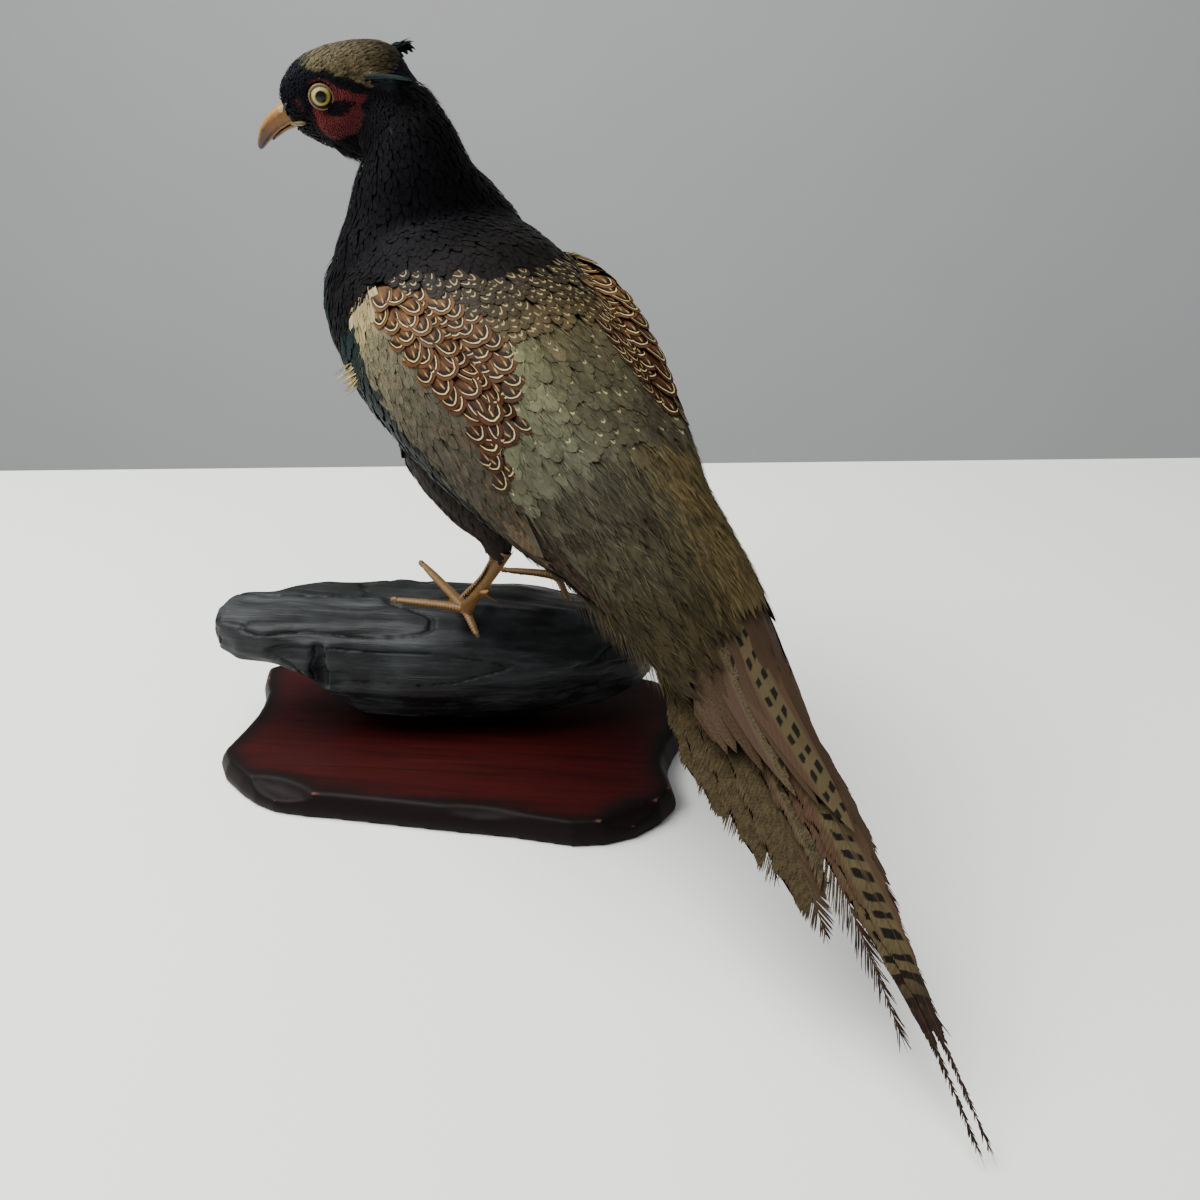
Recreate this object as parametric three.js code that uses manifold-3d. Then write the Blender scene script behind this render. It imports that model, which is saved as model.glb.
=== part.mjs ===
// A cock Japanese green pheasant, preserved whole and mounted on a black log over a
// carved, lacquered plaque. Millimetres, +Z up.
// Origin: the middle of the plaque's underside, with X along the plaque's long side.
// The bird has a frame of its own: +X to its front, +Y to its left, on the middle of its feet.

import * as THREE from 'three';
import { mergeVertices } from 'three/addons/utils/BufferGeometryUtils.js';
import Module from 'manifold-3d';

const wasm = await Module();
wasm.setup();

// ---- Driving dimensions -------------------------------------------------------------------

const GAP = 0.3;                        // clearance between two pieces that touch
const FLOOR_GAP = 2.5;                  // the tail's tip hangs this far above the floor

const PLAQUE_THICK = 14;
const PLAQUE_BEVEL = 5;                 // how far the rim slopes in from underside to top
const LOG_FOOT = PLAQUE_THICK + GAP;    // underside of the log

const BIRD_X = 36.7;                    // middle of the feet on the plaque
const BIRD_Y = 15.5;
const BIRD_HEADING = 129.3;             // degrees, from the plaque's +X

const HEAD_AT = [105.7, 37, 347.6];     // middle of the head, in the bird's frame
const HEAD_TURN = 58;                   // degrees to the left
const HEAD_NOD = 20;                    // degrees down
const HEAD_TILT = 20;                   // degrees, left cheek down

const EYE_RADIUS = 6.4;
const EYE_AT = [4.4, 11.8, 6.5];        // centre of the left eyeball, in the head's frame

const LEG_APART = 32.4;                 // each foot from the middle line
const HOCK_APART = 26;                  // each heel joint from the middle line
const LEFT_FOOT_Z = 93;                 // where the toes meet, left foot and right foot
const RIGHT_FOOT_Z = 92;
const RIGHT_FOOT_AHEAD = 10;            // the right foot stands this far ahead of the left
const RIGHT_FOOT_TURN = 18;             // degrees that the right foot turns out
const TARSUS_LENGTH = 62;
const TARSUS_LEAN = 36;                 // degrees forward from the heel down to the toes
const TOES = [                          // length, degrees outward, thickness, rise to the tip
  { name: 'middle', length: 59, out: -2, radius: 3.0, rise: 8 },
  { name: 'outer', length: 47, out: 35, radius: 2.7, rise: -1 },
  { name: 'inner', length: 36, out: -52, radius: 2.7, rise: -1 },
  { name: 'hind', length: 19, out: 172, radius: 2.3, rise: -7 },
];

const TAIL_PAIRS = 6;
const TAIL_ROOT = [-112, -3, 165];      // where the middle tail feathers grow, inside the rump
const TAIL_TIP = [-359, 12, FLOOR_GAP + 1];
const TAIL_LENGTHS = [1, 0.84, 0.68, 0.58, 0.49, 0.41];
const TAIL_SPREADS = {                  // degrees out from the middle line, pair by pair
  left: [0.1, 2.6, 6, 9, 12, 14.5],
  right: [0.8, 2, 4.4, 8, 12, 16],
};
const TAIL_HALF_WIDTHS = [13, 13, 12, 11.5, 11, 10];
const VANE = 0.6;                       // thickness of a tail feather
const VANE_STEP = 1.45;                 // each tail feather lies this far under the one above

// ---- Shape helpers ------------------------------------------------------------------------

const radians = THREE.MathUtils.degToRad;
const vector = (a) => new THREE.Vector3(a[0], a[1], a[2]);

function bare(geometry) {
  const copy = geometry.index ? geometry.clone() : mergeVertices(geometry);
  copy.deleteAttribute('normal');
  copy.deleteAttribute('uv');
  return mergeVertices(copy, 1e-4);
}

function signedVolume(geometry) {
  const p = geometry.attributes.position;
  const index = geometry.index;
  const a = new THREE.Vector3();
  const b = new THREE.Vector3();
  const c = new THREE.Vector3();
  let volume = 0;
  for (let i = 0; i < index.count; i += 3) {
    a.fromBufferAttribute(p, index.getX(i));
    b.fromBufferAttribute(p, index.getX(i + 1));
    c.fromBufferAttribute(p, index.getX(i + 2));
    volume += a.dot(b.cross(c)) / 6;
  }
  return volume;
}

function outward(geometry) {
  if (signedVolume(geometry) < 0) {
    const index = geometry.index;
    for (let i = 0; i < index.count; i += 3) {
      const swap = index.getX(i);
      index.setX(i, index.getX(i + 1));
      index.setX(i + 1, swap);
    }
  }
  return geometry;
}

function solid(geometry) {
  const shape = outward(bare(geometry));
  return new wasm.Manifold(new wasm.Mesh({
    numProp: 3,
    vertProperties: new Float32Array(shape.attributes.position.array),
    triVerts: new Uint32Array(shape.index.array),
  }));
}

function geometryOf(manifold) {
  const mesh = manifold.getMesh();
  const geometry = new THREE.BufferGeometry();
  geometry.setAttribute('position', new THREE.BufferAttribute(new Float32Array(mesh.vertProperties), 3));
  geometry.setIndex(new THREE.BufferAttribute(new Uint32Array(mesh.triVerts), 1));
  return geometry;
}

// A round-ended body swept along stations [x, y, z, half-width, up, down], from back to front
// or from left to right. Along an upright path, up is to the rear and down to the front.
// A sphere's rings become the body's sections. `swell` makes it that much fatter all over.
function swept(stations, { around = 20, rings = 18, square = 1, swell = 0, ripple = null } = {}) {
  const spine = new THREE.CatmullRomCurve3(stations.map((s) => vector(s)), false, 'catmullrom', 0.5);
  const sizes = new THREE.CatmullRomCurve3(
    stations.map((s) => new THREE.Vector3(s[3], s[4], s[5])), false, 'catmullrom', 0.5);
  const geometry = bare(new THREE.SphereGeometry(1, around, rings));
  const p = geometry.attributes.position;
  const point = new THREE.Vector3();
  const leftHint = new THREE.Vector3(0, 1, 0);
  for (let i = 0; i < p.count; i += 1) {
    point.fromBufferAttribute(p, i);
    const polar = Math.acos(THREE.MathUtils.clamp(point.y, -1, 1));
    const along = polar / Math.PI;
    const turn = Math.atan2(point.z, point.x);
    const atPole = Math.min(along, 1 - along) < 1e-4;
    const centre = spine.getPoint(along);
    const size = sizes.getPoint(along);
    const ahead = spine.getTangent(along);
    const side = leftHint.clone().addScaledVector(ahead, -leftHint.dot(ahead)).normalize();
    const rise = ahead.clone().cross(side);
    const bend = (value) => Math.sign(value) * Math.abs(value) ** square;
    const across = bend(Math.cos(turn));
    const upright = bend(Math.sin(turn));
    const fat = ripple ? ripple(along, turn) : 0;
    const wide = Math.max(size.x, 0) + swell + fat;
    const high = Math.max(upright > 0 ? size.y : size.z, 0) + swell + fat;
    const open = atPole ? 0 : 1;
    centre.addScaledVector(ahead, -Math.cos(polar) * swell);
    centre.addScaledVector(side, across * wide * open);
    centre.addScaledVector(rise, upright * high * open);
    p.setXYZ(i, centre.x, centre.y, centre.z);
  }
  return geometry;
}

// Everything on the side of a plane that its normal points to, as far as one body reaches.
function beyond(point, normal) {
  const size = 900;
  const box = new THREE.BoxGeometry(size, size, size);
  box.translate(size / 2, 0, 0);
  const turn = new THREE.Quaternion().setFromUnitVectors(
    new THREE.Vector3(1, 0, 0), vector(normal).normalize());
  box.applyQuaternion(turn);
  box.translate(point[0], point[1], point[2]);
  return solid(box);
}

// Parts a solid with one thin cut: the piece ahead of the plane and the piece behind it.
function parted(manifold, point, normal) {
  const step = vector(normal).normalize().multiplyScalar(GAP / 2);
  const at = vector(point);
  const ahead = at.clone().add(step).toArray();
  const behind = at.clone().sub(step).toArray();
  const back = vector(normal).negate().toArray();
  return [manifold.intersect(beyond(ahead, normal)), manifold.intersect(beyond(behind, back))];
}

const mirroredStations = (stations) => stations.map((s) => [s[0], -s[1], ...s.slice(2)]);

function placed(geometry, matrix) {
  return geometry.applyMatrix4(matrix);
}

// ---- Finishes -----------------------------------------------------------------------------

const finish = (color, roughness, metalness = 0) => ({ color, roughness, metalness });
const FINISH = {
  lacquer: finish(0x4f1413, 0.32),
  blackLog: finish(0x232526, 0.55),
  blackPlumage: finish(0x17181c, 0.6),
  crown: finish(0x5d533c, 0.5),
  darkPlumage: finish(0x1b2220, 0.6),
  rumpPlumage: finish(0x757a66, 0.75),
  wingPlumage: finish(0x7c5a3c, 0.7),
  flightPlumage: finish(0x7d7c66, 0.7),
  tailPlumage: finish(0x7a6b45, 0.7),
  thighPlumage: finish(0x221d19, 0.7),
  horn: finish(0xb07b45, 0.4),
  scutes: finish(0xa9794a, 0.5),
  wattle: finish(0x7d2428, 0.7),
  eye: finish(0xc9b92a, 0.1),
};

const group = new THREE.Group();
const bird = new THREE.Group();
bird.position.set(BIRD_X, BIRD_Y, 0);
bird.rotation.z = radians(BIRD_HEADING);
group.add(bird);
const birdMatrix = new THREE.Matrix4().compose(
  bird.position, new THREE.Quaternion().setFromEuler(bird.rotation), new THREE.Vector3(1, 1, 1));

function addNode(parent, name, manifold, look) {
  const mesh = new THREE.Mesh(geometryOf(manifold), new THREE.MeshStandardMaterial(look));
  mesh.name = name;
  parent.add(mesh);
}

// ---- Head, neck, trunk and rump: one body, parted ------------------------------------------

const headMatrix = new THREE.Matrix4().compose(
  vector(HEAD_AT),
  new THREE.Quaternion().setFromEuler(
    new THREE.Euler(radians(-HEAD_TILT), radians(HEAD_NOD), radians(HEAD_TURN), 'ZYX')),
  new THREE.Vector3(1, 1, 1));

const TRUNK = [
  [-204, -5, 114, 0, 0, 0],
  [-200, -5, 117, 23, 9, 12],
  [-178, -5, 131, 30, 17, 19],
  [-145, -4, 151, 37, 27, 27],
  [-108, -2, 169, 44, 35, 33],
  [-68, 0, 190, 50, 43, 43],
  [-25, 0, 211, 59, 53, 54],
  [20, 1, 231, 65, 58, 58],
  [64, 2, 243, 66, 55, 56],
  [95, 4, 243, 57, 49, 51],
  [112, 5, 240, 42, 37, 39],
  [121, 5, 238, 24, 22, 24],
  [123.5, 5, 236, 0, 0, 0],
];
const NECK = [
  [56, 0, 225, 0, 0, 0],
  [60, 1, 240, 60, 39, 50],
  [66, 4, 262, 60, 36, 54],
  [72, 6, 284, 51, 34, 51],
  [76, 9, 304, 36, 33, 35],
  [81, 9.5, 322, 27, 31, 24],
  [92, 12, 341, 20, 26, 19],
  [100, 22, 352, 13, 17, 12],
  [102, 25, 354, 0, 0, 0],
];
const HEAD = [
  [-40, 0, -10, 0, 0, 0],
  [-38, 0, -10, 9, 11, 11],
  [-31, 0, -8, 16, 21, 19],
  [-20, 0, -4, 17.8, 24, 26],
  [-9, 0, -1, 18, 24.5, 33],
  [2, 0, 0, 16.8, 24.5, 34],
  [12, 0, 0, 14.8, 23, 28],
  [22, 0, 0, 11.5, 17, 16],
  [27.5, 0, 0, 7, 9.5, 8.5],
  [29, 0, 0, 0, 0, 0],
];

const headLoft = (swell = 0) => solid(placed(swept(HEAD, { around: 16, rings: 10, swell }), headMatrix));
const trunkLoft = (swell = 0) => solid(swept(TRUNK, { around: 22, rings: 17, square: 0.95, swell }));
const neckLoft = (swell = 0) => solid(swept(NECK, { around: 18, rings: 11, swell }));

const eyeBall = (side, swell = 0) => {
  const ball = new THREE.SphereGeometry(EYE_RADIUS + swell, 10, 8);
  ball.translate(EYE_AT[0], side * EYE_AT[1], EYE_AT[2]);
  return solid(placed(ball, headMatrix));
};

const BILL_UPPER = [
  [19, 0, -1, 0, 0, 0],
  [20.5, 0, -1, 6.8, 6.4, 4.4],
  [27, 0, -1, 6.4, 7.0, 4.4],
  [35, 0, -2.8, 5.2, 6.0, 4.2],
  [42.5, 0, -6.6, 3.5, 4.4, 3.4],
  [47.5, 0, -11, 1.7, 2.2, 1.8],
  [49, 0, -13, 0, 0, 0],
];
const BILL_LOWER = [
  [18, 0, -5, 0, 0, 0],
  [19, 0, -5.2, 5.8, 2.6, 2.8],
  [28, 0, -5.2, 4.8, 2.4, 2.6],
  [35, 0, -7, 3.4, 2, 1.9],
  [40, 0, -9.6, 1.7, 1, 1.1],
  [41, 0, -10.2, 0, 0, 0],
];
const billUpper = (swell = 0) => solid(placed(swept(BILL_UPPER, { around: 10, rings: 8, swell }), headMatrix));
const billLower = (swell = 0) => solid(placed(swept(BILL_LOWER, { around: 8, rings: 6, swell }), headMatrix));

const wattlePatch = (side) => {
  const patch = new THREE.SphereGeometry(1, 12, 6);
  patch.scale(15.5, 4.6, 14.5);
  patch.translate(-2, side * 15.6, -6.5);
  return solid(placed(patch, headMatrix));
};

// The left tuft lies pressed to the neck, and the right one stands clear of it.
const EAR_TUFTS = {
  left: [
    [-43, 27, 1, 0, 0, 0],
    [-42, 26.8, 1.4, 0.8, 0.9, 0.8],
    [-37, 25, 3.6, 2.6, 3, 2.4],
    [-31, 22.5, 5.6, 3.4, 3.8, 3.4],
    [-23, 18.5, 7, 3, 3.4, 3],
    [-19, 16, 7, 0, 0, 0],
  ],
  right: [
    [-45, -21, 2.6, 0, 0, 0],
    [-44, -21, 2.4, 1.2, 1.4, 1.2],
    [-39, -21.5, 1.4, 3, 4, 3],
    [-31, -21.5, 0.2, 3.8, 5, 4],
    [-22, -19.5, 0, 3.2, 4, 3.4],
    [-19, -17, 0, 0, 0, 0],
  ],
};
const earTuft = (name) => solid(placed(swept(EAR_TUFTS[name], { around: 8, rings: 7 }), headMatrix));

const wholeBody = trunkLoft().add(neckLoft()).add(headLoft());
const fatBody = trunkLoft(GAP).add(neckLoft(GAP)).add(headLoft(GAP));
const [headSolid, belowHead] = parted(wholeBody, [93, 11, 341], [0.4, 0.64, 0.66]);
const [neckSolid, belowNeck] = parted(belowHead, [62, 2, 276], [0.05, 0, 1]);
const [trunkSolid, rumpSolid] = parted(belowNeck, [-104, 0, 168], [0.87, 0, 0.49]);

// ---- Wings, thighs, legs and feet ------------------------------------------------------------

const WING = [
  [-151, 24, 146.5, 0, 0, 0],
  [-148, 25, 148, 2.4, 5, 3],
  [-128, 30, 158, 5.5, 13, 8],
  [-98, 37, 172, 10.5, 25, 17],
  [-60, 44, 190, 15, 37, 26],
  [-20, 52, 210, 17.5, 43, 30],
  [20, 56, 228, 18, 43, 30],
  [54, 56, 238, 15, 33, 25],
  [72, 53, 234, 11, 18, 15],
  [75, 50, 234, 0, 0, 0],
];
const wingLoft = (side, swell = 0) => solid(swept(
  side > 0 ? WING : mirroredStations(WING), { around: 16, rings: 14, swell }));

const footX = (side) => (side > 0 ? 0 : RIGHT_FOOT_AHEAD);

function hockOf(side) {
  const footZ = side > 0 ? LEFT_FOOT_Z : RIGHT_FOOT_Z;
  const lean = radians(TARSUS_LEAN);
  return [
    footX(side) - Math.sin(lean) * TARSUS_LENGTH,
    side * HOCK_APART,
    footZ + Math.cos(lean) * TARSUS_LENGTH,
  ];
}

const footOf = (side) => [footX(side), side * LEG_APART, side > 0 ? LEFT_FOOT_Z : RIGHT_FOOT_Z];

function thighLoft(side, swell = 0) {
  const hock = hockOf(side);
  const foot = footOf(side);
  const down = (share) => hock.map((value, i) => value + (foot[i] - value) * share);
  return solid(swept([
    [28, side * 34, 196, 0, 0, 0],
    [24, side * 35, 190, 19, 22, 20],
    [8, side * 34, 176, 18, 24, 22],
    [-8, side * 31, 162, 14, 21, 18],
    [hock[0] + 8, side * 28, hock[2] + 7, 9.5, 14, 12],
    [...down(0.16), 6.4, 9, 7],
    [...down(0.44), 4.9, 5.6, 5.4],
    [...down(0.47), 0, 0, 0],
  ], { around: 10, rings: 9, swell }));
}

function legLoft(side, swell = 0) {
  const hock = hockOf(side);
  const foot = footOf(side);
  const at = (share) => hock.map((value, i) => value + (foot[i] - value) * share);
  return solid(swept([
    [...at(0.04), 0, 0, 0],
    [...at(0.07), 3.6, 4.2, 4.2],
    [...at(0.5), 3.3, 3.8, 3.8],
    [...at(0.85), 3.6, 4.2, 4.2],
    [...at(0.96), 4.0, 4.6, 4.4],
    [...at(0.99), 0, 0, 0],
  ], { around: 8, rings: 7, swell }));
}

// The spur grows inward and back from the leg, a third of the way up.
function spurLoft(side) {
  const hock = hockOf(side);
  const foot = footOf(side);
  const root = hock.map((value, i) => value + (foot[i] - value) * 0.66);
  const step = (back, inward, down, radius) => [
    root[0] - back, root[1] - side * inward, root[2] - down, radius, radius, radius];
  return solid(swept([
    step(1, 0.6, 0, 0), step(2, 1.2, 0, 2.6), step(6, 3.4, 1.5, 2.1), step(10, 5.4, 4, 1.2),
    step(12.5, 6.4, 7, 0.6), step(12.8, 6.5, 7.6, 0),
  ], { around: 6, rings: 6 }));
}

// A toe arches from the foot's middle, lies along the log and ends in a short claw.
function toeLoft(side, toe, swell = 0) {
  const foot = footOf(side);
  const out = radians(side > 0 ? toe.out : -toe.out - RIGHT_FOOT_TURN);
  const step = (share, rise, radius) => [
    foot[0] + Math.cos(out) * toe.length * share,
    foot[1] + Math.sin(out) * toe.length * share,
    foot[2] + rise + toe.rise * share, radius, radius, radius * 0.92];
  return solid(swept([
    step(-0.06, 1, 0),
    step(0, 1, toe.radius * 1.25),
    step(0.22, 1.6, toe.radius),
    step(0.5, 0.9, toe.radius * 0.94),
    step(0.78, 0.4, toe.radius * 0.84),
    step(0.9, 0.4, toe.radius * 0.62),
    step(1, -0.8, 0.7),
    step(1.01, -1, 0),
  ], { around: 7, rings: 8, swell }));
}

function footSolid(side, swell = 0) {
  return TOES.slice(1).reduce(
    (joined, toe) => joined.add(toeLoft(side, toe, swell)), toeLoft(side, TOES[0], swell));
}

// ---- Tail ------------------------------------------------------------------------------------

const tailAxis = new THREE.CatmullRomCurve3([
  vector(TAIL_ROOT),
  new THREE.Vector3(-160, -6, 142),
  new THREE.Vector3(-215, -6, 110),
  new THREE.Vector3(-270, -1, 74),
  new THREE.Vector3(-320, 6, 36),
  vector(TAIL_TIP),
], false, 'catmullrom', 0.5);

const roofFall = (across) => 0.012 * across * across;

// A tail feather is a thin vane along the tail's line, turned out by its spread and laid under
// the pair above it; the vanes together slope down to both sides like a roof.
function tailFeather(pair, side) {
  const layer = pair === 0 ? (side < 0 ? 0 : 1) : 2 * pair + (side > 0 ? 0 : 1);
  const strip = bare(new THREE.BoxGeometry(1, 1, 1, 10, 2, 1));
  const p = strip.attributes.position;
  const spread = radians(TAIL_SPREADS[side > 0 ? 'left' : 'right'][pair]) * side;
  const length = TAIL_LENGTHS[pair];
  const widest = TAIL_HALF_WIDTHS[pair];
  const axisLength = tailAxis.getLength();
  for (let i = 0; i < p.count; i += 1) {
    const share = p.getX(i) + 0.5;
    const reach = share * length;
    const centre = tailAxis.getPointAt(Math.min(reach, 1));
    const ahead = tailAxis.getTangentAt(Math.min(reach, 1));
    const left = new THREE.Vector3(0, 1, 0).addScaledVector(ahead, -ahead.y).normalize();
    const rise = ahead.clone().cross(left).negate();
    if (rise.z < 0) rise.negate();
    const swellUp = Math.min(1, 0.35 + share * 2.2);
    const taper = 1 - THREE.MathUtils.clamp((share - 0.25) / 0.62, 0, 1) ** 1.7;
    const halfWidth = Math.max(0.7, widest * swellUp * taper);
    const across = Math.tan(spread) * share * length * axisLength + 2 * p.getY(i) * halfWidth;
    centre.addScaledVector(left, across);
    centre.addScaledVector(rise, p.getZ(i) * VANE - layer * VANE_STEP - roofFall(across));
    p.setXYZ(i, centre.x, centre.y, centre.z);
  }
  return solid(strip);
}

// ---- Stand -----------------------------------------------------------------------------------

// The plaque's rim: four lobed corners with waists between them.
const RIM = [
  [-132, 66], [-124, 40], [-121, 14], [-124, -14], [-126, -34], [-106, -56], [-84, -69], [-52, -72],
  [-18, -75], [18, -78], [50, -80], [82, -84], [110, -74], [130, -48], [125, -26], [125, -6],
  [133, 26], [128, 54], [116, 72], [84, 79], [40, 76], [-10, 80], [-60, 84], [-104, 82],
];
function plaqueSolid() {
  const rim = new THREE.CatmullRomCurve3(
    RIM.map(([x, y]) => new THREE.Vector3(x, y, 0)), true, 'catmullrom', 0.5).getPoints(44).slice(0, -1);
  const shape = new THREE.Shape(rim.map((q) => new THREE.Vector2(q.x, q.y)));
  const slab = bare(new THREE.ExtrudeGeometry(shape, { depth: PLAQUE_THICK, steps: 3, bevelEnabled: false }));
  const p = slab.attributes.position;
  for (let i = 0; i < p.count; i += 1) {
    const height = p.getZ(i) / PLAQUE_THICK;
    const inset = PLAQUE_BEVEL * height * height + (height < 0.01 ? 1.2 : 0);
    const reach = Math.hypot(p.getX(i), p.getY(i));
    p.setX(i, p.getX(i) * (1 - inset / reach));
    p.setY(i, p.getY(i) * (1 - inset / reach));
  }
  const scoop = (x, y, half, deep, angle) => {
    const cut = new THREE.SphereGeometry(1, 12, 6);
    cut.scale(half, deep, 8.5);
    cut.rotateZ(radians(angle));
    cut.translate(x, y, PLAQUE_THICK + 2.2);
    return solid(cut);
  };
  return solid(slab)
    .subtract(scoop(-80, -68, 27, 11, -24))
    .subtract(scoop(26, -82, 38, 11, -3))
    .subtract(scoop(112, -71, 30, 9, 34));
}

const LOG = [
  [-135, 12, 74, 0, 0, 0],
  [-132, 12, 74, 15, 9, 12],
  [-120, 13, 72, 26, 13, 18],
  [-98, 17, 71, 34, 14, 22],
  [-78, 21, 68, 39, 19, 26],
  [-54, 26, 59, 42, 27, 42],
  [-18, 28, 53, 44, 34, 40],
  [20, 31, 52, 44, 35, 38],
  [58, 38, 50, 40, 33, 32],
  [86, 44, 48, 33, 27, 26],
  [104, 46, 47, 22, 17, 18],
  [111, 47, 47, 10, 8, 8],
  [113, 47, 47, 0, 0, 0],
];
function logSolid(feet) {
  const grain = (along, turn) => 1.6 * Math.sin(turn * 5 + along * 7)
    + 1.1 * Math.sin(turn * 9 - along * 16) + 1.0 * Math.sin(along * 41 + turn * 2);
  const whole = solid(swept(LOG, { around: 20, rings: 18, square: 0.9, ripple: (a, t) => (
    grain(a, t) * Math.min(1, 6 * Math.min(a, 1 - a))) }));
  const notch = new THREE.SphereGeometry(1, 12, 10);
  notch.scale(5, 17, 26);
  notch.rotateX(radians(-16));
  notch.rotateZ(radians(-20));
  notch.translate(-73, -24, 54);
  return whole
    .subtract(solid(notch))
    .intersect(beyond([0, 0, LOG_FOOT], [0, 0, 1]))
    .subtract(feet);
}

// ---- Assembly --------------------------------------------------------------------------------

const bothEyes = eyeBall(1, GAP).add(eyeBall(-1, GAP));
const bill = billUpper(GAP).add(billLower(GAP));
addNode(bird, 'head', headSolid.subtract(bothEyes).subtract(bill), FINISH.crown);
addNode(bird, 'bill_upper', billUpper(), FINISH.horn);
addNode(bird, 'bill_lower', billLower().subtract(billUpper(GAP)), FINISH.horn);
addNode(bird, 'neck', neckSolid, FINISH.blackPlumage);

const wings = {};
for (const [name, side] of [['left', 1], ['right', -1]]) {
  wings[name] = wingLoft(side).subtract(fatBody);
  addNode(bird, `eye_${name}`, eyeBall(side), FINISH.eye);
  addNode(bird, `wattle_${name}`,
    wattlePatch(side).subtract(fatBody).subtract(eyeBall(side, GAP)), FINISH.wattle);
  addNode(bird, `ear_tuft_${name}`, earTuft(name).subtract(fatBody), FINISH.darkPlumage);
  addNode(bird, `wing_${name}`, wings[name], FINISH.wingPlumage);
  const fatTrunk = fatBody.add(wingLoft(side, GAP));
  addNode(bird, `thigh_${name}`, thighLoft(side).subtract(fatTrunk), FINISH.thighPlumage);
  const leg = legLoft(side).subtract(thighLoft(side, GAP));
  addNode(bird, `leg_${name}`, leg.add(spurLoft(side)).subtract(footSolid(side, GAP)), FINISH.scutes);
  addNode(bird, `foot_${name}`, footSolid(side), FINISH.scutes);
}

addNode(bird, 'trunk', trunkSolid, FINISH.darkPlumage);

let feathers = null;
const feathersByName = [];
for (let pair = 0; pair < TAIL_PAIRS; pair += 1) {
  for (const [name, side] of [['left', 1], ['right', -1]]) {
    const feather = tailFeather(pair, side).subtract(fatBody);
    feathersByName.push([`tail_feather_${pair + 1}_${name}`, feather]);
    feathers = feathers ? feathers.add(feather) : feather;
  }
}
for (const [name, feather] of feathersByName) addNode(bird, name, feather, FINISH.tailPlumage);
addNode(bird, 'rump', rumpSolid, FINISH.rumpPlumage);

addNode(group, 'stand_plaque', plaqueSolid(), FINISH.lacquer);
const feetInPlace = solid(placed(geometryOf(footSolid(1, GAP).add(footSolid(-1, GAP))), birdMatrix));
addNode(group, 'stand_log', logSolid(feetInPlace), FINISH.blackLog);

export default group;
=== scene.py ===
import math

import bmesh
import bpy
import numpy as np
from mathutils import Matrix, Vector, noise
from mathutils.bvhtree import BVHTree


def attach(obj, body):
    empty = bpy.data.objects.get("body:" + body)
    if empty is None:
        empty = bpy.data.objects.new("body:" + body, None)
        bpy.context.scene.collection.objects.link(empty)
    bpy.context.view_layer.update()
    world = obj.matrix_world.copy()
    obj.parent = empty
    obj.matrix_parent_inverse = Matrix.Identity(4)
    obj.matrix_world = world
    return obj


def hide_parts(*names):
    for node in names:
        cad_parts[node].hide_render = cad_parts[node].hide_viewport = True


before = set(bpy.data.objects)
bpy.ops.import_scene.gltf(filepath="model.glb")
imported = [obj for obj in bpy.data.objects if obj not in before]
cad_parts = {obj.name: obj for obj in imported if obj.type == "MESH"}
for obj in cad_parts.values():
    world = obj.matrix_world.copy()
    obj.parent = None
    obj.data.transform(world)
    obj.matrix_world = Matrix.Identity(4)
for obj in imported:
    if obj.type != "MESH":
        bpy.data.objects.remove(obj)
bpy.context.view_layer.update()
chance = np.random.default_rng(20)
SIDES = {"left": 1, "right": -1}

# ---- Places and sizes, in millimetres -----------------------------------------------------------
# The bird is laid out in its own frame: +X ahead, +Y to its left, +Z up, on the plaque's centre.

BIRD_AT = np.array([36.7, 15.5, 0.0])
BIRD_TURN = math.radians(129.3)
HEAD_AT = np.array([105.7, 37.0, 347.6])
HEAD_TURN, HEAD_NOD, HEAD_TILT = math.radians(58), math.radians(20), math.radians(-20)
EYE_AT = (4.4, 11.8, 6.5)               # in the head's frame, +X to the bill, for the left eye
EYE_RADIUS = 6.4
ORBIT_RADIUS, ORBIT_OUT = 11, 14.9      # round each eye the skin lies this far out at most
GUIDE_SPAN = 450.0                      # length of the line from bill to tail root

LEG_APART, HOCK_APART = 32.4, 26.0
TARSUS_LENGTH, TARSUS_LEAN = 62.0, math.radians(36)
FEET = {"left": (0.0, LEG_APART, 93.0), "right": (10.0, -LEG_APART, 92.0)}
RIGHT_FOOT_TURN = 18.0
TOES = {                                # length, degrees out, radius
    "middle": (59, -2, 3.0),
    "outer": (47, 35, 2.7),
    "inner": (36, -52, 2.7),
    "hind": (19, 172, 2.3),
}
# Along each toe: share of the length, share of the radius.
TOE_STATIONS = ((0.0, 1.25), (0.22, 1), (0.5, 0.94), (0.78, 0.84), (0.9, 0.62))

TAIL_AXIS = ((-112, -3, 165), (-160, -6, 142), (-215, -6, 110), (-270, -1, 74), (-320, 6, 36),
             (-359, 12, 3.5))
TAIL_LENGTHS = (1, 0.84, 0.68, 0.58, 0.49, 0.41)
TAIL_SPREADS = {"left": (0.1, 2.6, 6, 9, 12, 14.5), "right": (0.8, 2, 4.4, 8, 12, 16)}
TAIL_HALF_WIDTHS = (13, 13, 12, 11.5, 11, 10)
VANE_STEP = 1.1                         # from one tail feather down to the next

EAR_TUFTS = {                           # in the head's frame, root last
    "left": ((-43, 27, 1), (-37, 25, 3.6), (-31, 22.5, 5.6), (-23, 18.5, 7), (-19, 16, 7)),
    "right": ((-45, -21, 2.6), (-39, -21.5, 1.4), (-31, -21.5, 0.2), (-22, -19.5, 0), (-19, -17, 0)),
}

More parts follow.
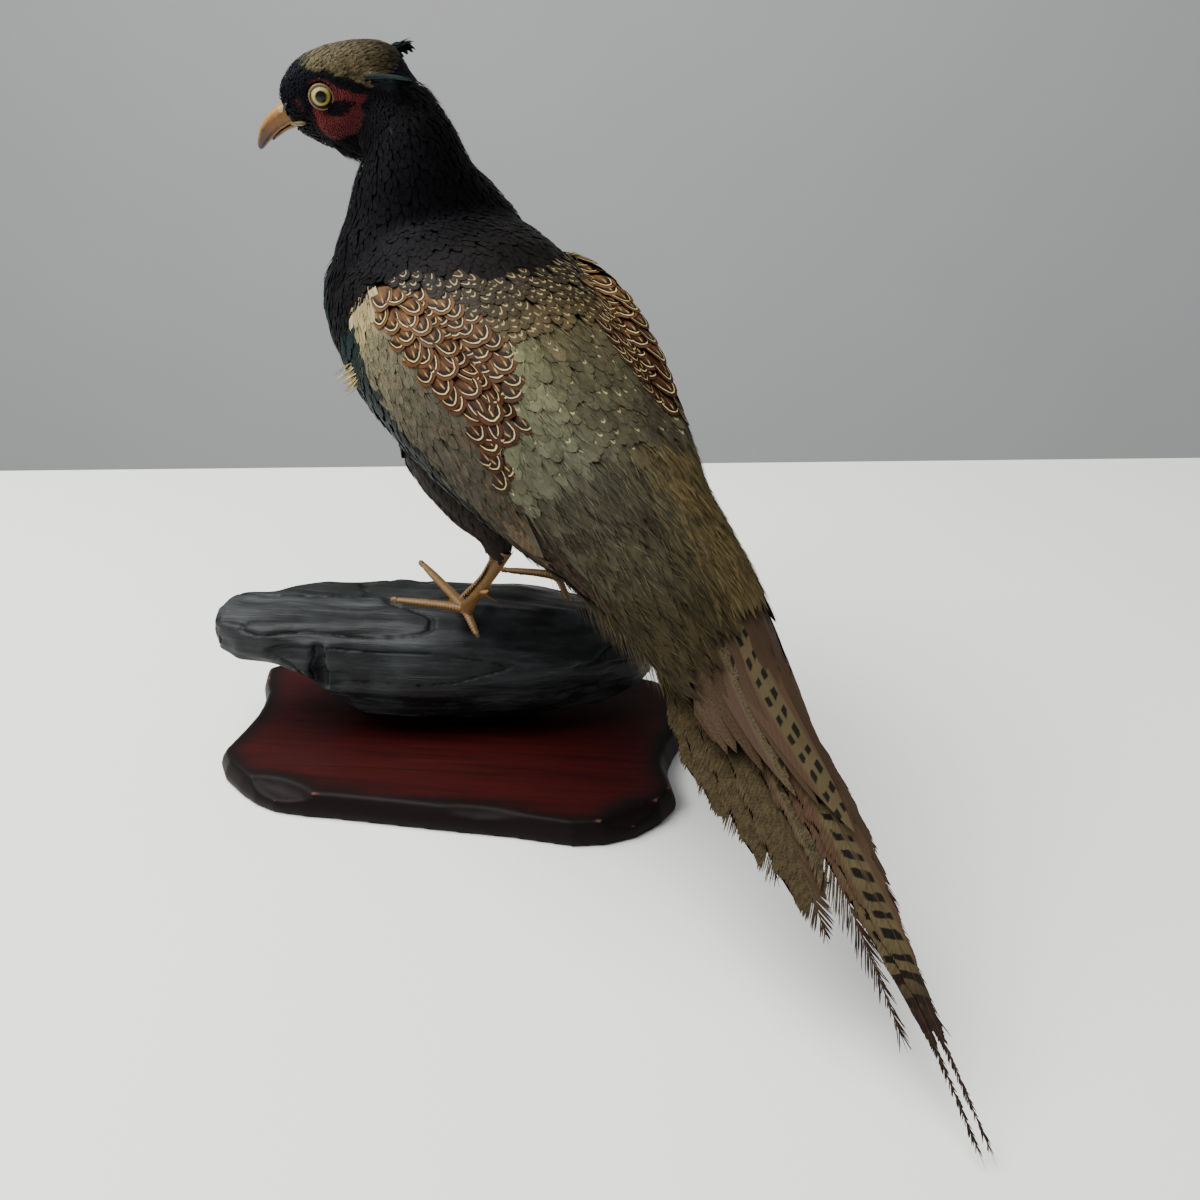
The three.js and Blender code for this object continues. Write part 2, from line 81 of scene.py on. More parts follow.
# How deep the coat lies over the skin, by part.
COAT_DEPTH = {
    "head": 1.3, "neck": 3.2, "trunk": 4.2, "rump": 5.0, "wing": 4.2, "thigh": 2.4,
    "ear_tuft": 1.2, "wattle": 0.9, "leg": 0.3, "foot": 0.3,
}


def turn(axis, angle):
    return np.array(Matrix.Rotation(angle, 3, axis))


HEAD_AXES = turn("Z", HEAD_TURN) @ turn("Y", HEAD_NOD) @ turn("X", HEAD_TILT)
BIRD_AXES = turn("Z", BIRD_TURN)


def from_head(points):
    return np.asarray(points, float) @ HEAD_AXES.T + HEAD_AT


def to_head(points):
    return (points - HEAD_AT) @ HEAD_AXES


def to_part(points):
    """Bird frame in millimetres to the part's frame in metres."""
    return (np.asarray(points, float) @ BIRD_AXES.T + BIRD_AT) * 0.001


def to_bird(points):
    return (np.asarray(points, float) * 1000 - BIRD_AT) @ BIRD_AXES


def unit(vectors):
    return vectors / np.maximum(np.linalg.norm(vectors, axis=-1, keepdims=True), 1e-9)


def resampled(line, places, wanted):
    """The line's points or directions at the wanted places, where its own are at the places."""
    return np.stack([np.interp(wanted, places, line[:, i]) for i in range(3)], -1)


def run_along(line):
    """How far along the line each of its points lies."""
    return np.concatenate([[0], np.cumsum(np.linalg.norm(np.diff(line, axis=0), axis=1))])


def smooth_line(points, per_span):
    """A Catmull-Rom curve through the points."""
    p = np.asarray(points, float)
    ends = np.vstack([2 * p[0] - p[1], p, 2 * p[-1] - p[-2]])
    t = np.linspace(0, 1, per_span, endpoint=False)[:, None]
    spans = []
    for i in range(1, len(ends) - 2):
        a, b, c, d = ends[i - 1], ends[i], ends[i + 1], ends[i + 2]
        spans.append(0.5 * (2 * b + (c - a) * t + (2 * a - 5 * b + 4 * c - d) * t**2
                            + (3 * b - a - 3 * c + d) * t**3))
    return np.vstack(spans + [p[-1:]])


# ---- The guide line from bill to tail, which places every marking -------------------------------

GUIDE = smooth_line(np.vstack([
    from_head([(30, 0, -2), (5, 0, 0), (-18, 0, -4)]),
    [(90, 12, 340), (80, 8, 318), (70, 6, 292), (58, 4, 268), (35, 2, 246),
     (-10, 1, 222), (-68, 0, 194), (-145, -4, 153), (-204, -5, 118)],
]), 24)
GUIDE_S = run_along(GUIDE)
GUIDE_AHEAD = unit(np.gradient(GUIDE, axis=0))
blend = np.clip((GUIDE_S - 40) / 50, 0, 1)[:, None]
blend = blend * blend * (3 - 2 * blend)
UP = (1 - blend) * HEAD_AXES[:, 2] + blend * np.array([-0.35, 0, 0.94])
GUIDE_UP = unit(UP - (UP * GUIDE_AHEAD).sum(1, keepdims=True) * GUIDE_AHEAD)
GUIDE_LEFT = np.cross(GUIDE_AHEAD, GUIDE_UP)


def along_guide(points):
    """For each point: how far it is along the guide, its angle round it (0 is the back, + is
    left, 180 is the belly), and the direction towards the tail."""
    places = []
    for chunk in np.array_split(points, max(1, len(points) // 4000)):
        near = ((chunk[:, None, :] - GUIDE[None]) ** 2).sum(2).argmin(1)
        out = chunk - GUIDE[near]
        angle = np.degrees(np.arctan2((out * GUIDE_LEFT[near]).sum(1), (out * GUIDE_UP[near]).sum(1)))
        ahead = (out * GUIDE_AHEAD[near]).sum(1)
        places.append(np.column_stack([GUIDE_S[near] + ahead * 0.5, angle, GUIDE_AHEAD[near]]))
    places = np.vstack(places)
    return places[:, 0], places[:, 1], places[:, 2:]


# ---- Colours and markings -----------------------------------------------------------------------

def linear(code):
    """An sRGB hex colour as linear red, green and blue."""
    values = np.array([int(code[i:i + 2], 16) for i in (1, 3, 5)]) / 255
    return np.where(values <= 0.04045, values / 12.92, ((values + 0.055) / 1.055) ** 2.4)


def paint(code):
    return (*linear(code), 1.0)


ZONES = ("crown", "face", "patch", "wattle", "neck", "breast", "mantle", "scapular", "back",
         "covert", "rump", "cover", "thigh", "leg", "ear")
ZONE = {name: i for i, name in enumerate(ZONES)}

# The half-angle from the back's middle where the mantle and the back give way to the shoulder
# feathers, and the one where those give way to the wing coverts.
INNER = ((158, 72), (166, 66), (186, 50), (205, 42), (232, 34), (245, 38), (256, 45), (268, 53),
         (277, 61), (284, 70), (293, 86))
OUTER = ((150, 74), (190, 70), (262, 70), (275, 77), (293, 86))
WING_EDGE = ((150, 86), (179, 89), (186, 95), (245, 104), (268, 110), (330, 118))

# Outlines in the head's side view, along the bill and upwards.
CROWN_EDGE = ((-40, 10), (-28, 5.5), (-23.3, 2.2), (-18.3, 4.4), (-13.5, 7.4), (-8.8, 10.6), (-3.9, 13.3),
              (-1.3, 15.6), (0.3, 17.3), (3.1, 16.6), (5.4, 17.1), (10, 20))
WATTLE_OUTLINE = ((8.9, 14.6), (4.3, 15.2), (-0.2, 13.6), (-2.8, 10.6), (-5, 8), (-9, 5), (-14, 2),
                  (-17.6, -0.4), (-15, -2.2), (-12.2, -3.2), (-10.8, -8), (-8, -12.3), (-3, -15.6),
                  (4, -16), (10, -15.2), (13.3, -13), (14, -9.3), (14.6, -5.6), (13.5, -1.2), (12.3, 3),
                  (11.8, 7), (10.8, 11))
PATCH_OUTLINE = ((8.2, 0.4), (4.2, -2.9), (-1, -3.9), (-5.6, -2.4), (-9, -0.6), (-4.4, 1.6), (-0.8, 2.1),
                 (2.5, 1.8))


def inside(outline, x, z):
    """Which points lie inside a closed outline in the head's side view."""
    hits = np.zeros(len(x), bool)
    for (ax, az), (bx, bz) in zip(outline, outline[1:] + outline[:1]):
        crosses = (az > z) != (bz > z)
        hits ^= crosses & (x < (bx - ax) * (z - az) / ((bz - az) or 1e-9) + ax)
    return hits


def graded(value, stops):
    """Linear colours from a list of (value, hex) stops."""
    places = [s[0] for s in stops]
    colours = np.array([linear(s[1]) for s in stops])
    return np.column_stack([np.interp(value, places, colours[:, i]) for i in range(3)])


def markings(points, parts):
    """Each point's zone and colour; skin and coat both take theirs from here."""
    s, angle, _ = along_guide(points)
    wide = np.abs(angle)
    head = to_head(points)
    x, y, z = head[:, 0], head[:, 1], head[:, 2]
    inner = np.interp(s, *zip(*INNER)) - 12 * (angle < 0) * np.clip((s - 225) / 20, 0, 1)
    outer = np.interp(s, *zip(*OUTER))
    edge = np.interp(s, *zip(*WING_EDGE))
    on_head = np.isin(parts, ("head", "wattle"))
    crown = on_head & (z > np.interp(x, *zip(*CROWN_EDGE))) & (x < 11)
    bare = on_head & (np.abs(y) > 7) & inside(WATTLE_OUTLINE, x, z)
    strip = on_head & (np.abs(x - 17.4 - 0.1 * z) < 1.2) & (np.abs(z - 5.6) < 3.4) & (np.abs(y) > 5)
    crown_back = (parts == "neck") & (s < 56) & (wide < 40)
    zone = np.full(len(points), ZONE["breast"])
    zone[s > 300] = np.where(wide[s > 300] < 128, ZONE["rump"], ZONE["breast"])
    zone[s > 384 + 0.16 * np.maximum(angle, -30)] = ZONE["cover"]
    body = np.isin(parts, ("trunk", "wing", "rump"))
    zone[body & (s <= 304) & (wide < inner)] = ZONE["back"]
    zone[body & (s < 238) & (wide < inner)] = ZONE["mantle"]
    zone[body & (s > 156) & (s < 310) & (wide >= inner) & (wide < outer)] = ZONE["scapular"]
    zone[body & (s > 156) & (s < 352) & (wide >= outer) & (wide < edge)] = ZONE["covert"]
    zone[(parts == "neck")] = ZONE["neck"]
    zone[body & (s < 160) & (wide < 120)] = ZONE["neck"]
    zone[on_head] = ZONE["face"]
    zone[crown | crown_back] = ZONE["crown"]
    zone[bare | strip] = ZONE["wattle"]
    zone[bare & inside(PATCH_OUTLINE, x, z)] = ZONE["patch"]
    zone[parts == "ear_tuft"] = ZONE["ear"]
    shank = np.isin(parts, ("thigh", "leg"))
    zone[shank] = np.where(points[shank][:, 2] > 143, ZONE["thigh"], ZONE["leg"])
    zone[parts == "foot"] = ZONE["leg"]

    colour = np.empty((len(points), 3))
    side = np.clip(wide / 120, 0, 1)[:, None]
    # Along the shoulders, back, wing and rump the shades darken towards the tail: partly the plumage's own
    # colour, partly painted shade on the lower body, which turns away from the light above.
    grades = {
        "crown": graded(x, ((-38, "#151311"), (-30, "#292318"), (-14, "#3f3526"), (4, "#4b4430"),
                            (11, "#26221d"))),
        "face": graded(z, ((-25, "#0f0e0f"), (8, "#111114"), (20, "#15171a"))),
        "patch": graded(z, ((-5, "#120e12"), (3, "#120e12"))),
        "wattle": graded(z, ((-17, "#4f2020"), (0, "#602524"), (15, "#562122"))),
        "neck": graded(s, ((60, "#0f0e0e"), (110, "#0d0c0e"), (150, "#0e0d0d"), (170, "#12100e"))),
        "breast": graded(s, ((120, "#14191b"), (170, "#182220"), (240, "#111514"), (330, "#141210"),
                             (400, "#241d14"))),
        "mantle": graded(s, ((150, "#12110f"), (185, "#1d1a15"), (215, "#30281b"), (238, "#4a4029"))),
        "scapular": graded(s, ((158, "#553c22"), (200, "#573a20"), (250, "#412615"), (300, "#29160d"))),
        "back": graded(s, ((230, "#504832"), (262, "#474331"), (304, "#3d392c"))),
        "covert": graded(s, ((150, "#a1946c"), (168, "#897c58"), (185, "#625c47"), (240, "#403d31"),
                             (275, "#3a372c"), (300, "#322a1f"), (320, "#251d14"))),
        "rump": graded(s, ((300, "#38362a"), (335, "#332f22"), (370, "#2f281a"), (410, "#2e2616"))),
        "cover": graded(angle, ((-90, "#3d2f22"), (0, "#3f3223"), (50, "#3b3120"), (120, "#2f2818"))),
        "thigh": graded(s, ((200, "#161210"), (400, "#241c16"))),
        "leg": graded(points[:, 2], ((85, "#5c4323"), (120, "#5d4122"), (150, "#463019"))),
        # The teal in the ear tuft's middle is painted sheen, the light caught by its green gloss.
        "ear": graded(x, ((-44, "#0c0d0e"), (-36, "#0e1011"), (-33, "#131a19"), (-28, "#131c1a"),
                          (-25, "#101213"), (-19, "#0f1112"))),
    }
    for name, shades in grades.items():
        colour[zone == ZONE[name]] = shades[zone == ZONE[name]]
    # The far side of the rump is browner, as dried plumage is; towards the belly the rump turns dark brown,
    # painted shade where the body turns under, away from the light above.
    warm = (zone == ZONE["rump"])[:, None] * np.clip((25 - angle) / 55, 0, 1)[:, None] * 0.85
    colour = colour * (1 - warm) + linear("#564a2f") * warm
    # Painted shade: the rump darkens to dark brown towards the belly.
    dark = (zone == ZONE["rump"])[:, None] * np.clip((side - 0.86) / 0.14, 0, 1) * 0.6
    colour = colour * (1 - dark) + linear("#241c11") * dark
    # The back is sage beside the wing and browner towards the middle and the far side.
    sage = (zone == ZONE["back"])[:, None] * np.clip((angle - 12) / 26, 0, 1)[:, None]
    pale = graded(s, ((240, "#5e5e43"), (265, "#55563f"), (304, "#444435")))
    colour = colour * (1 - sage) + pale * sage
    return zone, colour


# ---- Materials ----------------------------------------------------------------------------------

def node(tree, kind, *inputs, stops=(), out=0, **settings):
    """Adds a shader node with its settings and gives one of its outputs. Its inputs are values or
    links for its first sockets, or a dict of them; stops are a ramp's places with what is there."""
    made = tree.nodes.new("ShaderNode" + kind)
    for name, value in settings.items():
        setattr(made, name, value)
    sockets = {}
    for i, value in enumerate(inputs):
        sockets.update(value if isinstance(value, dict) else {i: value})
    for socket, value in sockets.items():
        if isinstance(value, bpy.types.NodeSocket):
            tree.links.new(value, made.inputs[socket])
        else:
            made.inputs[socket].default_value = value
    for i, (place, colour) in enumerate(stops):
        element = made.color_ramp.elements[i] if i < 2 else made.color_ramp.elements.new(place)
        element.position = place
        element.color = paint(colour) if isinstance(colour, str) else (colour, colour, colour, 1)
    return made.outputs[out]


# What a Mix node of colours needs: its factor goes to socket 0, its colours to 6 and 7.
COLOURS = {"data_type": "RGBA", "out": 2}


def cells(size):
    """The scale of a pattern whose patches are this many millimetres across."""
    return 1000 / size


def finish_material(name):
    """An empty node material and its tree."""
    material = bpy.data.materials.new(name)
    material.use_nodes = True
    tree = material.node_tree
    tree.nodes.clear()
    return material, tree


def surfaced(material, colour, rough, more, relief=()):
    """Gives a material its shader, and its relief as strength, depth in metres and height."""
    tree = material.node_tree
    sockets = {"Base Color": colour, "Roughness": rough, **more}
    if relief:
        sockets["Normal"] = node(tree, "Bump", dict(zip(("Strength", "Distance", "Height"), relief)))
    shader = node(tree, "BsdfPrincipled", sockets)
    tree.links.new(shader, tree.nodes.new("ShaderNodeOutputMaterial").inputs[0])
    return material


# ---- Meshes -------------------------------------------------------------------------------------

def add_values(mesh, name, values):
    """Stores a colour or a number for each point of a mesh."""
    kind, field = ("FLOAT", "value")
    if values.ndim == 2:
        kind, field = ("FLOAT_COLOR", "color")
        values = np.column_stack([values, np.ones(len(values))])
    mesh.attributes.new(name, kind, "POINT").data.foreach_set(field, values.astype(np.float32).ravel())


def place_points(mesh, points):
    """Moves a mesh's points to places in the part's frame, in metres."""
    mesh.vertices.foreach_set("co", points.astype(np.float32).ravel())
    mesh.update()


def link_mesh(name, mesh):
    """An object of the mesh, in the scene."""
    made = bpy.data.objects.new(name, mesh)
    bpy.context.scene.collection.objects.link(made)
    return made


def link_work(name, work):
    """An object from a finished bmesh, which it frees."""
    mesh = bpy.data.meshes.new(name)
    work.to_mesh(mesh)
    work.free()
    return link_mesh(name, mesh)


def settle(made, material, replaces=()):
    """Gives a finished object its material, its body and the CAD nodes it stands for."""
    made.data.materials.clear()
    made.data.materials.append(material)
    made.data.polygons.foreach_set("use_smooth", np.ones(len(made.data.polygons), bool))
    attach(made, "root")
    if replaces:
        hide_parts(*replaces)
    return made


def piece(name, points, faces, material, maps, marks, tone, shading=None, signs=None,
          replaces=()):
    """Makes an object from arrays in the bird's frame: points, then arrays of quads and triangles.
    maps are UV maps, and marks, tone and shading the colours, chance numbers and normals, one for
    each point; signs turns the normals of single corners over."""
    mesh = bpy.data.meshes.new(name)
    mesh.vertices.add(len(points))
    mesh.vertices.foreach_set("co", to_part(points).astype(np.float32).ravel())
    corners = np.concatenate([f.ravel() for f in faces]).astype(np.int32)
    sizes = np.concatenate([np.full(len(f), f.shape[1]) for f in faces])
    mesh.loops.add(len(corners))
    mesh.loops.foreach_set("vertex_index", corners)
    mesh.polygons.add(len(sizes))
    starts = np.concatenate([[0], np.cumsum(sizes)[:-1]]).astype(np.int32)
    mesh.polygons.foreach_set("loop_start", starts)
    mesh.update(calc_edges=True)
    for map_name, places in maps.items():
        layer = mesh.uv_layers.new(name=map_name)
        layer.uv.foreach_set("vector", places[corners].astype(np.float32).ravel())
    add_values(mesh, "marking", marks)
    add_values(mesh, "tone", tone)
    mesh.polygons.foreach_set("use_smooth", np.ones(len(sizes), bool))
    mesh.update()
    if shading is not None:
        turned = unit(shading)[corners] * (1 if signs is None else signs[:, None])
        mesh.normals_split_custom_set((turned @ BIRD_AXES.T).tolist())
    return settle(link_mesh(name, mesh), material, replaces)


def merged_copy(names, swell):
    """One mesh from copies of CAD nodes, each merged and swollen by a little, in metres."""
    work = bmesh.new()
    for name in names:
        one = bmesh.new()
        one.from_mesh(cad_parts[name].data)
        bmesh.ops.remove_doubles(one, verts=one.verts, dist=1e-6)
        one.normal_update()
        for vert in one.verts:
            vert.co += vert.normal * swell
        scratch = bpy.data.meshes.new("scratch")
        one.to_mesh(scratch)
        one.free()
        work.from_mesh(scratch)
        bpy.data.meshes.remove(scratch)
    mesh = bpy.data.meshes.new("merged")
    work.to_mesh(mesh)
    work.free()
    return mesh


def remeshed(mesh, voxel):
    """The mesh rebuilt as an even skin of quads."""
    made = link_mesh("remeshing", mesh)
    modifier = made.modifiers.new("even", "REMESH")
    modifier.mode = "VOXEL"
    modifier.voxel_size = voxel
    seen = made.evaluated_get(bpy.context.evaluated_depsgraph_get())
    result = bpy.data.meshes.new_from_object(seen)
    bpy.data.objects.remove(made)
    bpy.data.meshes.remove(mesh)
    return result


def arrays_of(mesh):
    """A mesh's points, its normals and the two ends of each edge."""
    points = np.zeros(len(mesh.vertices) * 3, np.float32)
    mesh.vertices.foreach_get("co", points)
    normals = np.zeros(len(mesh.vertices) * 3, np.float32)
    mesh.vertices.foreach_get("normal", normals)
    edges = np.zeros(len(mesh.edges) * 2, np.int32)
    mesh.edges.foreach_get("vertices", edges)
    return points.reshape(-1, 3).astype(float), normals.reshape(-1, 3).astype(float), edges.reshape(-1, 2)


def neighbour_mean(values, edges):
    """The mean of each vertex's neighbours."""
    total = np.zeros_like(values)
    count = np.zeros(len(values))
    for a, b in ((0, 1), (1, 0)):
        np.add.at(total, edges[:, a], values[edges[:, b]])
        np.add.at(count, edges[:, a], 1)
    return total / np.maximum(count, 1).reshape((-1,) + (1,) * (values.ndim - 1))


def relaxed(values, edges, rounds, strength=0.5):
    """The values evened out over the mesh, a little each round."""
    for _ in range(rounds):
        values = values + (neighbour_mean(values, edges) - values) * strength
    return values


# ---- Skin: one closed surface under the whole coat ----------------------------------------------

FLESH = [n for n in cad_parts
         if not n.startswith(("stand_", "tail_feather", "eye_", "bill_"))]


def part_of(name):
    return name.replace("_left", "").replace("_right", "")


def flesh_parts(points):
    """The name of the CAD part nearest to each point of the bird."""
    corners, triangles, owner = [], [], []
    for name in FLESH:
        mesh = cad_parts[name].data
        base = len(corners)
        corners.extend(tuple(v.co * 1000) for v in mesh.vertices)
        for face in mesh.polygons:
            triangles.append([base + i for i in face.vertices])
            owner.append(part_of(name))
    tree = BVHTree.FromPolygons(corners, triangles)
    return np.array([owner[tree.find_nearest(p)[2]] for p in (to_part(points) * 1000).tolist()])


def make_skin(material):
    """The flesh parts as one surface, drawn in by the coat's depth."""
    mesh = remeshed(merged_copy(FLESH, 0.0004), 0.0016)
    points, _, edges = arrays_of(mesh)
    bird = to_bird(points)
    parts = flesh_parts(bird)
    bird = relaxed(bird, edges, 3)
    depth = relaxed(np.array([COAT_DEPTH[p] for p in parts]), edges, 14)
    place_points(mesh, to_part(bird))
    normals = unit(relaxed(arrays_of(mesh)[1], edges, 3)) @ BIRD_AXES
    bird = bird - normals * (depth + 0.4)[:, None]
    # The orbits: the skin draws in round each eye.
    head = to_head(bird)
    for sign in SIDES.values():
        beside = np.hypot(head[:, 0] - EYE_AT[0], head[:, 2] - EYE_AT[2])
        outside = (head[:, 1] * sign > 5) & (beside < ORBIT_RADIUS)
        draw = np.clip((ORBIT_RADIUS - beside) / 4, 0, 1) * np.maximum(np.abs(head[:, 1]) - ORBIT_OUT, 0)
        head[outside, 1] -= sign * draw[outside]
    bird = relaxed(from_head(head), edges, 2, 0.4)
    place_points(mesh, to_part(bird))
    zone, colour = markings(bird, parts)
    colour = relaxed(colour, edges, 1)
    add_values(mesh, "marking", colour)
    made = settle(link_mesh("skin", mesh), material, FLESH)
    return made, bird, parts, zone, colour


# ---- Coat: feathers and locks rooted on the skin ------------------------------------------------

class Hide:
    """The skin as something to root feathers on and to lay them along."""

    def __init__(self, made, bird, parts, zone, colour):
        mesh = made.data
        mesh.calc_loop_triangles()
        corners = np.zeros(len(mesh.loop_triangles) * 3, np.int32)
        mesh.loop_triangles.foreach_get("vertices", corners)
        self.triangles = corners.reshape(-1, 3)
        self.points = bird
        _, normals, edges = arrays_of(mesh)
        self.normals = unit(relaxed(normals @ BIRD_AXES, edges, 30))
        self.parts, self.zone, self.colour = parts, zone, colour
        self.tree = BVHTree.FromPolygons(bird.tolist(), self.triangles.tolist())
        self.face_normals = unit(self.normals[self.triangles].mean(1))
        a, b, c = (bird[self.triangles[:, i]] for i in range(3))
        self.areas = np.linalg.norm(np.cross(b - a, c - a), axis=1) / 2

    def roots(self, wanted, spacing, keep=None):
        """Evenly scattered roots, at least the spacing apart, in the wanted zones."""
        mask = np.isin(self.zone[self.triangles], [ZONE[w] for w in wanted]).any(1)
        if keep is not None:
            mask &= keep(self.points[self.triangles[:, 0]])
        chosen = np.flatnonzero(mask)
        area = self.areas[chosen]
        count = int(area.sum() / spacing**2 * 5)
        picked = chance.choice(chosen, count, p=area / area.sum())
        r, q = np.sqrt(chance.random(count)), chance.random(count)
        weights = np.column_stack([1 - r, r * (1 - q), r * q])
        points = (self.points[self.triangles[picked]] * weights[:, :, None]).sum(1)
        boxes = np.floor(points / spacing).astype(int).tolist()
        taken, kept = {}, []
        steps = [(i, j, k) for i in (-1, 0, 1) for j in (-1, 0, 1) for k in (-1, 0, 1)]
        limit = spacing**2
        for n, (p, (i, j, k)) in enumerate(zip(points.tolist(), boxes)):
            near = False
            for di, dj, dk in steps:
                for other in taken.get((i + di, j + dj, k + dk), ()):
                    if (p[0] - other[0])**2 + (p[1] - other[1])**2 + (p[2] - other[2])**2 < limit:
                        near = True
                        break
                if near:
                    break
            if not near:
                taken.setdefault((i, j, k), []).append(p)
                kept.append(n)
        points, verts = points[kept], self.triangles[picked[kept], 0]
        zone, colour = markings(points, self.parts[verts])
        right = np.isin(zone, [ZONE[w] for w in wanted])
        return points[right], colour[right], self.face_normals[picked[kept]][right]

    def lay(self, roots, normals, flow, lengths, shares):
        """Walks each feather's line along the skin; past an edge it carries straight on."""
        here, up = roots, normals
        ahead = unit(flow - (flow * normals).sum(1, keepdims=True) * normals)
        lines, ups = [here], [up]
        for before, after in zip(shares, shares[1:]):
            step = lengths * (after - before)
            reach = here + ahead * step[:, None]
            found, found_up = reach.copy(), up.copy()
            for n, target in enumerate(reach.tolist()):
                spot, _, index, gap = self.tree.find_nearest(target)
                turned = self.face_normals[index] @ up[n] if spot is not None else 0
                if turned > 0.55 and gap < 0.45 * step[n] + 0.6:
                    found[n] = spot
                    found_up[n] = self.face_normals[index]
            up = unit(up * 0.5 + found_up * 0.5)
            ahead = unit(0.35 * ahead + 0.65 * unit(found - here))
            ahead = unit(ahead - 0.5 * (ahead * up).sum(1, keepdims=True) * up)
            here = found
            lines.append(here)
            ups.append(up)
        return np.stack(lines, 1), np.stack(ups, 1)


VANE_OUTLINES = {                       # share of the length, share of the half-width
    "round": ((0, 0.22), (0.25, 0.72), (0.55, 1.0), (0.8, 0.94), (0.94, 0.62), (1, 0.0)),
    "broad": ((0, 0.2), (0.2, 0.7), (0.45, 1.0), (0.7, 1.0), (0.86, 0.86), (0.96, 0.5), (1, 0.0)),
    "lance": ((0, 0.25), (0.3, 0.9), (0.55, 1.0), (0.8, 0.72), (1, 0.0)),
    "scale": ((0, 0.3), (0.4, 1.0), (0.78, 0.85), (1, 0.0)),
}


def cross_sections(lines, ups, half_widths, camber, thick):
    """Four points round each feather at each row: left edge, shaft, right edge and underside."""
    ahead = unit(np.gradient(lines, axis=1))
    left = unit(np.cross(ups, ahead))
    up = np.cross(ahead, left)
    width = half_widths[:, :, None]
    drop = up * (camber * width)
    edges = (lines + left * width - drop, lines + up * thick[:, :, None],
             lines - left * width - drop, lines - up * (thick * 0.5)[:, :, None])
    return np.stack(edges, 2)


def tube_faces(count, rows, around):
    """Quads between the rows of many closed strips with a tip point each, and both ends closed."""
    per = (rows - 1) * around + 1
    base = (np.arange(count) * per)[:, None, None]
    row = (np.arange(rows - 2) * around)[None, :, None]
    col = np.arange(around)[None, None, :]
    nxt = (col + 1) % around
    quads = np.stack([base + row + col, base + row + nxt,
                      base + row + around + nxt, base + row + around + col], -1).reshape(-1, 4)
    last = base[:, 0] + (rows - 2) * around
    tip = np.broadcast_to(base[:, 0] + per - 1, (count, around))
    tips = np.stack([last + col[0], last + nxt[0], tip], -1).reshape(-1, 3)
    cap = base[:, 0] + np.arange(around)[::-1][None]
    return quads, tips, cap


BAKE_PATCH = 0.003                      # width of each feather's patch on the coat's map


def unwrapped(points):
    """The skin's own unwrap: along the guide and round it, each from 0 to 1."""
    s, angle, _ = along_guide(points)
    return np.column_stack([s / GUIDE_SPAN, (angle + 180) / 360])


def strips(name, lines, ups, widths, camber, thick, colours, tones, roots, material,
           around=4, relief=0.12, replaces=(), vane=None, place=None):
    """Many thin closed strips in one piece: lines are their middles, the last row their tip.
    Their shading follows the body, and relief is how far it turns towards each vane's edges."""
    count, rows = lines.shape[:2]
    left = unit(np.cross(ups, unit(np.gradient(lines, axis=1))))
    if around == 4:
        rings = cross_sections(lines, ups, widths, camber, thick)
        across = np.array([1.0, 0, -1, 0])
        facing = (ups + left * relief, ups, ups - left * relief, -ups)
    else:
        w = widths[:, :, None]
        rings = np.stack([lines + left * w, lines + ups * w * 0.9, lines - left * w], 2)
        across = np.array([1.0, 0, -1])
        facing = (ups + left * relief, ups, ups - left * relief)
    body = rings[:, :-1].reshape(count, -1, 3)
    points = np.concatenate([body, lines[:, -1:]], 1).reshape(-1, 3)
    facing = np.stack(facing, 2)[:, :-1].reshape(count, -1, 3)
    facing = np.concatenate([facing, ups[:, -1:]], 1).reshape(-1, 3)
    widest = np.maximum(widths.max(1), 1e-6)[:, None, None]
    u = 0.5 + 0.5 * (widths[:, :-1, None] / widest) * across
    share = np.linalg.norm(np.diff(lines, axis=1), axis=2).cumsum(1)
    share = np.concatenate([np.zeros((count, 1)), share], 1) / share[:, -1:]
    v = np.broadcast_to(share[:, :-1, None], u.shape)
    u = np.concatenate([u.reshape(count, -1), np.full((count, 1), 0.5)], 1).ravel()
    v = np.concatenate([v.reshape(count, -1), np.ones((count, 1))], 1).ravel()
    per = body.shape[1] + 1
    place = unwrapped(roots) if place is None else place
    bake = np.repeat(place, per, 0) + BAKE_PATCH * (np.column_stack([u, v]) - 0.5)
    faces = tube_faces(count, rows, around)
    # The two or one underside faces of each ring turn their edges' normals down.
    signs = []
    for face in faces[:2]:
        under = (np.arange(len(face)) % around >= 2)[:, None]
        turned = under & ((face % per % around != 3) | (face % per == per - 1))
        signs.append(np.where(turned, -1.0, 1.0).ravel())
    signs = np.concatenate(signs + [np.ones(faces[2].size)])
    marks = np.repeat(colours, per, 0) if len(colours) == count else colours
    return piece(name, points, faces, material,
                 maps={"vane": np.column_stack([u, v]) if vane is None else vane(u, v), "OFBake": bake},
                 marks=marks, tone=np.repeat(tones, per), shading=facing, signs=signs, replaces=replaces)


ROOT_DEPTH = 0.3                        # how far a feather's root sinks into the skin
LOCK_DEPTH = 0.4


